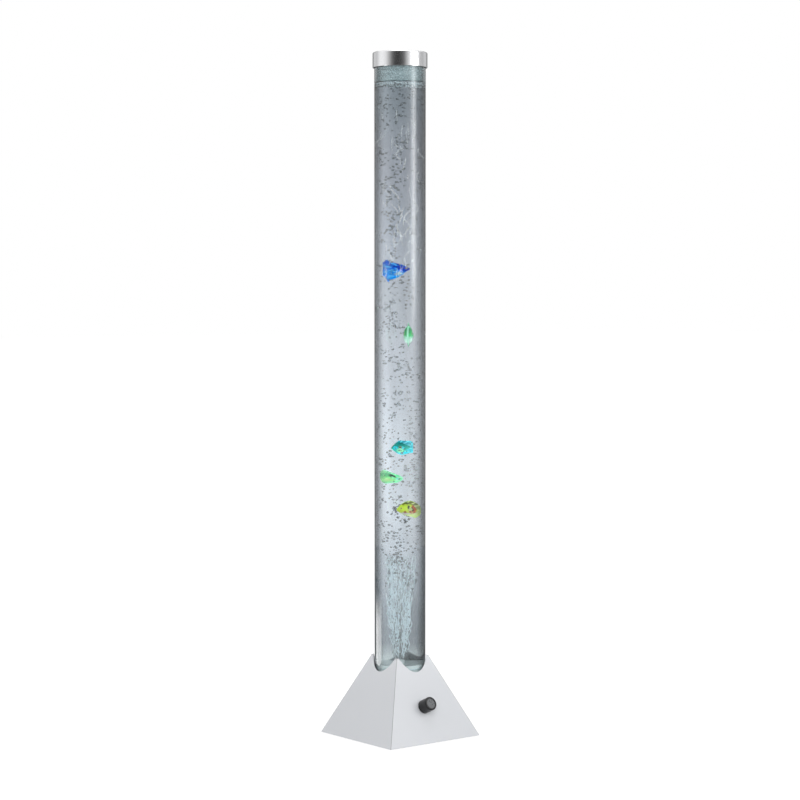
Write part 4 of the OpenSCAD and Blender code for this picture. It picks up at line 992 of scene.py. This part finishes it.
def fin_finish(fish, low, high, streak, rim, tilt=0):
    """Fin colours from below to above, with pale rays that fan out from the body and a coloured edge."""
    finish = Finish(fish.node + " fins", Roughness=0.28, Specular_IOR_Level=0.3, Coat_Weight=0.15,
                    Coat_Roughness=0.1)
    place, (x, _, z) = fish.coordinates(finish)
    turn = finish.math("ARCTAN2", z, finish.math("SUBTRACT", 0.3, x))
    bent = finish.math("MULTIPLY_ADD", finish.noise(place, 5, 3), 0.35, turn)
    fan = finish.span(finish.math("SINE", finish.math("MULTIPLY", bent, FIN_STREAKS)), 0.1, 1, 0, 0.8)
    level = finish.span(finish.math("MULTIPLY_ADD", x, tilt, z), -0.3, 0.35)
    color = finish.blend(fan, finish.blend(level, low, high), streak)
    edge = finish.span(finish.vector_math("LENGTH", place), 0.38, 0.56, 0, 0.8)
    finish.set(Base_Color=finish.blend(edge, color, rim))
    finish.emboss(fan, 0.15 * MM)
    return finish.material


EYE_RINGS = [(0, 0.005), (0.6, 0.008), (0.68, (0.85, 0.8, 0.55)), (1, (0.6, 0.55, 0.3))]


def eye_finish(fish, x, z, radius):
    """Black pupil in a pale ring, by the distance from the eye's middle."""
    finish = Finish(fish.node + " eye", Roughness=0.08, Coat_Weight=1)
    _, (along, _, up) = fish.coordinates(finish, (1, 1, 1))
    gap = finish.vector_math("DISTANCE", finish.combine(along, z=up), (x, 0, z))
    finish.set(Base_Color=finish.ramp(finish.math("DIVIDE", gap, radius), EYE_RINGS))
    return finish.material


def make_fish(fish, skin, fins, eye, side=(0.3, 0.04, 0.9)):
    """Body, fins and eyes of one fish, in its colours."""
    fish.add(fish_body(fish), "body", fish_skin(fish, **skin), [fish.node])
    bm = fin_sheet(fish)
    add_side_fins(bm, fish, *side)
    bmesh.ops.transform(bm, matrix=fish.matrix, verts=bm.verts[:])
    fish.add(bm, "fins", fin_finish(fish, **fins))
    x, radius = eye[0], eye[2] * MM
    z = fish.middle(x) + eye[1] * fish.tall
    fish.add(fish_eyes(fish, x, z, radius), "eyes", eye_finish(fish, x * fish.length, z, radius))


def make_blue():
    """Blue fish, which swims to the right."""
    top = [(-0.5, 0.36), (-0.44, 0.42), (-0.356, 0.5), (-0.2, 0.4), (0, 0.34), (0.2, 0.28), (0.35, 0.2),
           (0.5, 0.1)]
    bottom = [(-0.5, -0.2), (-0.4, -0.3), (-0.283, -0.5), (-0.18, -0.4), (0, -0.34), (0.2, -0.2),
              (0.35, -0.05), (0.5, 0.06)]
    fish = Fish("blue", 0, (37, 40, 11), top, bottom)
    # painted highlight: the pale cyan streak low on the front of the flank
    skin = dict(stops=[(0, (0.2, 0.65, 1)), (0.3, (0, 0.36, 1)), (0.55, (0, 0.2, 1)),
                       (0.66, (0, 0.04, 0.5)), (1, (0, 0.02, 0.25))], tilt=0.35,
                patches=[(0.12, -0.14, 0.24, 0.09, (0.5, 0.85, 1)), (-0.1, 0, 0.25, 0.06, (0.1, 0.6, 1))])
    fins = dict(low=(0, 0.34, 1), high=(0, 0.04, 0.4), streak=(0.12, 0.6, 1), rim=(0, 0.07, 0.45),
                tilt=0.3)
    make_fish(fish, skin, fins, (0.33, 0.03, 1.3))


def make_small_green():
    """Small green fish, which is seen end-on."""
    top = [(-0.5, 0.2), (-0.3, 0.4), (-0.1, 0.5), (0.1, 0.4), (0.3, 0.26), (0.42, 0.14), (0.5, 0.02)]
    bottom = [(-0.5, -0.2), (-0.3, -0.42), (-0.1, -0.5), (0.1, -0.44), (0.3, -0.3), (0.42, -0.17),
              (0.5, -0.04)]
    fish = Fish("small_green", -90, (32, 42, 13), top, bottom, fill=1.25)
    skin = dict(stops=[(0, (0.9, 1, 0.97)), (0.36, (0.55, 1, 0.8)), (0.46, (0.01, 0.4, 0.1)),
                       (0.74, (0.001, 0.14, 0.03)), (0.86, (0.02, 0.6, 0.2)), (1, (0.4, 0.95, 0.6))],
                seam=(0.5, 1, 0.75))
    fins = dict(low=(0.3, 0.95, 0.6), high=(0.003, 0.28, 0.08), streak=(0.05, 0.6, 0.2), rim=(0.4, 0.95, 0.7))
    make_fish(fish, skin, fins, (0.32, 0.06, 1.2), side=(0.4, 0, 1.4))


def make_turquoise():
    """Turquoise fish, which swims to the left."""
    top = [(-0.5, 0.4), (-0.4, 0.46), (-0.1, 0.48), (0.14, 0.5), (0.3, 0.34), (0.42, 0.15), (0.5, 0.02)]
    bottom = [(-0.5, -0.36), (-0.3, -0.4), (0, -0.5), (0.2, -0.42), (0.35, -0.26), (0.45, -0.13),
              (0.5, -0.06)]
    fish = Fish("turquoise", 180, (29, 26, 11), top, bottom)
    skin = dict(stops=[(0, (0.3, 0.85, 0.7)), (0.3, (0.02, 0.6, 0.5)), (0.5, (0.005, 0.3, 0.24)),
                       (0.72, (0.002, 0.14, 0.12)), (1, (0.002, 0.08, 0.1))],
                patches=[(0.08, -0.2, 0.2, 0.18, (0.35, 1, 0.6)), (0.32, 0, 0.14, 0.14, (0, 0.6, 0.75))])
    fins = dict(low=(0.01, 0.8, 0.95), high=(0.002, 0.16, 0.24), streak=(0.3, 0.95, 1),
                rim=(0.05, 0.85, 0.98))
    make_fish(fish, skin, fins, (0.1, 0.02, 2))


def make_pale_green():
    """Pale green fish with a dark patch."""
    top = [(-0.5, -0.05), (-0.3, 0.12), (0, 0.3), (0.2, 0.42), (0.35, 0.5), (0.44, 0.42), (0.5, 0.2)]
    bottom = [(-0.5, -0.2), (-0.3, -0.4), (0, -0.46), (0.3, -0.5), (0.42, -0.4), (0.5, -0.1)]
    fish = Fish("pale_green", 180, (27, 25, 11), top, bottom)
    skin = dict(stops=[(0, (0.3, 1, 0.5)), (0.25, (0.4, 1, 0.35)), (0.45, (0.25, 0.9, 0.3)),
                       (0.62, (0.02, 0.3, 0.12)), (0.8, (0.25, 0.75, 0.35)), (1, (0.45, 0.9, 0.55))],
                patches=[(-0.06, 0.1, 0.25, 0.2, (0.001, 0.006, 0.006)),
                         (-0.32, -0.18, 0.2, 0.16, (0.3, 1, 0.85)), (0.2, -0.2, 0.2, 0.1, (0.6, 1, 0.45))])
    fins = dict(low=(0.25, 1, 0.5), high=(0.08, 0.6, 0.25), streak=(0.6, 1, 0.7), rim=(0.35, 1, 0.65))
    make_fish(fish, skin, fins, (0.34, 0.1, 1.2))


def make_lime():
    """Lime fish with a black back, brown and black marks and a pale belly."""
    top = [(-0.5, -0.02), (-0.46, 0.14), (-0.38, 0.26), (-0.2, 0.42), (0, 0.5), (0.2, 0.42), (0.35, 0.26),
           (0.5, 0.04)]
    bottom = [(-0.5, -0.14), (-0.46, -0.3), (-0.4, -0.36), (-0.23, -0.48), (-0.1, -0.42), (0.1, -0.36),
              (0.3, -0.25), (0.5, -0.06)]
    fish = Fish("lime", 180, (38, 32, 11), top, bottom, fill=1.1)
    white, brown, black = (1, 1, 0.95), (0.45, 0.06, 0), (0.001, 0.001, 0)
    skin = dict(stops=[(0, white), (0.3, (0.95, 1, 0.75)), (0.4, (0.78, 1, 0.12)), (0.72, (0.7, 1, 0.06)),
                       (0.83, (0.05, 0.06, 0)), (1, (0.002, 0.004, 0))],
                patches=[(0.1, -0.28, 0.36, 0.15, white), (-0.19, 0.08, 0.13, 0.5, brown),
                         (-0.04, -0.08, 0.08, 0.11, brown), (0.17, -0.15, 0.07, 0.08, brown),
                         (0.02, 0.13, 0.08, 0.11, black), (-0.12, 0, 0.07, 0.11, black),
                         (-0.2, 0.28, 0.08, 0.1, black)])
    fins = dict(low=(0.75, 1, 0.4), high=(0.06, 0.07, 0), streak=(0.85, 1, 0.5), rim=(0.6, 0.95, 0.12))
    make_fish(fish, skin, fins, (0.32, 0.05, 1.3))


# ---------------------------------------------------------------- studio

WORLD_FILL = 0.42
FLOOR_SIZE = 30
FLOOR_COLOR = 0.35
FLOOR_GLOW = 0.87
# Name, turn from the camera's side, distance, height, size, power, spread, and whether gloss shows the lamp
LAMPS = (("key softbox", 55, 2.2, 1.35, (1.4, 1.5), 17, 180, False),
         ("fill softbox", -62, 2.2, 1.2, (1.6, 2), 14, 180, False),
         ("front softbox", 0, 2.6, 1.5, (1.4, 1.4), 28, 180, False),
         ("column beam", 0, 2.6, 0.9, (0.3, 0.3), 2.2, 17, False),
         ("top softbox", 0, 0.3, 3.2, (1.6, 1.6), 12, 180, True))
LAMP_AIM = Vector((0, 0, 0.6))
# Brightness of what the gloss shows, by its turn from the camera's side
SURROUND = [(-180, 0.2), (-150, 0.3), (-137, 0.7), (-112, 0.6), (-92, 0.97), (-75, 0.97), (-60, 0.8),
            (-46, 0.44), (-33, 0.145), (-20, 0.06), (-7, 0.046), (5, 0.073), (18, 0.15), (27, 0.43),
            (40, 0.82), (57, 1), (72, 1), (88, 0.57), (108, 0.5), (133, 0.7), (150, 0.3), (180, 0.2)]
SURROUND_R = 2.9
SURROUND_TOP = 3.2
# Upright strip in the surround: its turn, half its width, its gain, where it starts and where it fades
STRIP_TURN = 65
STRIP_HALF = 23
STRIP_GAIN = 4.2
STRIP_START = (0.55, 0.95)
STRIP_FADE = (1.42, 1.48, 1, 0.6)
# Low card: its turn, distance, middle height, half width, half height, brightness, and where that fades
LOW_TURN = -112
LOW_DISTANCE = 0.7
LOW_MIDDLE = Vector((0, 0, 0.1))
LOW_HALF = 0.36
LOW_HALF_TALL = 0.09
LOW_GLOW = 5.2
LOW_SIDES = (LOW_HALF, 0.2)
LOW_TOP = (0.17, 0.085)


def add_camera():
    """Camera at the photograph's viewing angle."""
    data = bpy.data.cameras.new("camera")
    data.sensor_width = SENSOR_WIDTH
    data.lens = CAMERA_LENS
    camera = add_object("camera", data)
    place = -VIEW_BACK * CAMERA_DISTANCE
    camera.location = (place.x, place.y, CAMERA_HEIGHT)
    camera.rotation_euler = (math.pi / 2 - CAMERA_DIP, 0, VIEW_TURN)
    bpy.context.scene.camera = camera


def add_world():
    """White background, also behind metal and glass, that lights the object only softly."""
    world = bpy.data.worlds.new("studio")
    bpy.context.scene.world = world
    world.use_nodes = True
    nodes = Nodes(world.node_tree)
    background = nodes.tree.nodes["Background"].inputs
    nodes.join(grey(1), background["Color"])
    strength = nodes.span(nodes.seen_by("Glossy", "Transmission"), 0, 1, WORLD_FILL, 1)
    nodes.join(strength, background["Strength"])


def add_floor():
    """Pale floor: white where it is lit, with the object's soft shadow on it."""
    bm = bmesh.new()
    bmesh.ops.create_grid(bm, x_segments=1, y_segments=1, size=FLOOR_SIZE)
    finish = Finish("studio floor", Roughness=1, Specular_IOR_Level=0, Base_Color=grey(FLOOR_COLOR),
                    Emission_Color=grey(1))
    finish.set(Emission_Strength=finish.span(finish.seen_by("Transmission"), 0, 1, 0, FLOOR_GLOW))
    add_mesh(bm, "floor", finish.material)


def side_place(turn, distance):
    """Place at a turn from the camera's side, in degrees."""
    angle = VIEW_TURN + math.radians(turn)
    return Vector((math.sin(angle), -math.cos(angle), 0)) * distance


def add_lamps():
    """Rectangular lamps, which face the lamp's column."""
    for name, turn, distance, height, size, power, spread, glossy in LAMPS:
        data = bpy.data.lights.new(name, "AREA")
        data.shape = "RECTANGLE"
        data.size, data.size_y = size
        data.energy = power
        data.spread = math.radians(spread)
        lamp = add_object(name, data)
        lamp.location = side_place(turn, distance) + Vector((0, 0, height))
        lamp.rotation_euler = (LAMP_AIM - lamp.location).to_track_quat("-Z", "Y").to_euler()
        lamp.visible_camera = False
        lamp.visible_transmission = False
        lamp.visible_glossy = glossy


def glow_finish(name, **sockets):
    """Black material that only glows."""
    return Finish(name, Base_Color=grey(0), Roughness=1, Specular_IOR_Level=0, **sockets)


def add_card(bm, name, finish, inside_glass):
    """Adds a glowing card that lights nothing and isn't seen itself."""
    card = add_mesh(bm, name, finish)
    card.visible_camera = False
    card.visible_diffuse = False
    card.visible_transmission = inside_glass
    card.visible_shadow = False


def surround_finish():
    """Glow that changes with the turn, with one brighter upright strip."""
    finish = glow_finish("surround")
    turned = finish.put("Mapping", {"Vector": finish.place, "Rotation": (0, 0, math.pi / 2 - VIEW_TURN)})
    around = finish.put("TexGradient", {0: turned}, "Fac", gradient_type="RADIAL")
    stops = [(turn / 360 + 0.5, level) for turn, level in SURROUND]
    strip = [((STRIP_TURN + side * STRIP_HALF) / 360 + 0.5, 1 - abs(side)) for side in (-1, 0, 1)]
    gain = finish.math("MULTIPLY", finish.ramp(around, strip, "EASE"),
                       finish.span(finish.height, *STRIP_START, 0, STRIP_GAIN, "SMOOTHSTEP"))
    gain = finish.math("MULTIPLY_ADD", gain, finish.span(finish.height, *STRIP_FADE), 1)
    finish.set(Emission_Color=finish.ramp(around, stops), Emission_Strength=gain)
    return finish.show_in_gloss()


def low_card_finish(middle, along):
    """Glow that fades out upwards and sideways."""
    finish = glow_finish("low card", Emission_Color=grey(1))
    side = finish.math("SUBTRACT", finish.vector_math("DOT_PRODUCT", finish.place, along), middle.dot(along))
    inside = finish.span(finish.math("ABSOLUTE", side), *LOW_SIDES, kind="SMOOTHSTEP")
    low = finish.span(finish.height, *LOW_TOP, 0, LOW_GLOW, "SMOOTHSTEP")
    finish.set(Emission_Strength=finish.math("MULTIPLY", inside, low))
    return finish.show_in_gloss()


def add_low_card():
    """Card behind the lamp's left side, which gives the tube's foot its soft bright stripe."""
    middle = side_place(LOW_TURN, LOW_DISTANCE)
    along = Matrix.Rotation(math.pi / 2, 3, "Z") @ middle.normalized()
    bm = bmesh.new()
    bmesh.ops.create_grid(bm, x_segments=1, y_segments=1, size=1)
    for vert in bm.verts:
        up = Vector((0, 0, vert.co.y * LOW_HALF_TALL))
        vert.co = middle + LOW_MIDDLE + along * vert.co.x * LOW_HALF + up
    add_card(bm, "low card", low_card_finish(middle, along), False)


def add_surround(name, middle, finish, inside_glass):
    """Half of a ring round the studio that gloss shows, for the bands in the metal and the glass."""
    bm = bmesh.new()
    edge = round_point(VIEW_TURN + math.radians(middle) - math.pi, SURROUND_R)
    verts = [bm.verts.new(edge), bm.verts.new(edge + Vector((0, 0, SURROUND_TOP)))]
    line = bm.edges.new(verts)
    bmesh.ops.spin(bm, geom=verts + [line], cent=(0, 0, 0), axis=(0, 0, 1), angle=math.pi, steps=64)
    add_card(bm, name, finish, inside_glass)


def add_studio():
    """World, floor, lamps and cards."""
    add_world()
    add_floor()
    add_lamps()
    add_low_card()
    glow = surround_finish()
    add_surround("front surround", 0, glow, True)
    add_surround("rear surround", 180, glow, False)


def set_view():
    """Plain view transform, and room for the many clear surfaces in the tube."""
    scene = bpy.context.scene
    scene.view_settings.view_transform = "Standard"
    scene.cycles.max_bounces = 24
    scene.cycles.transmission_bounces = 20
    scene.cycles.transparent_max_bounces = 32


add_camera()
set_view()
dress_frame()
make_tube()
make_water()
make_cap()
make_base()
make_plume()
make_rising()
make_streaks()
make_droplets()
make_haze()
make_foam()
make_blue()
make_small_green()
make_turquoise()
make_pale_green()
make_lime()
add_studio()
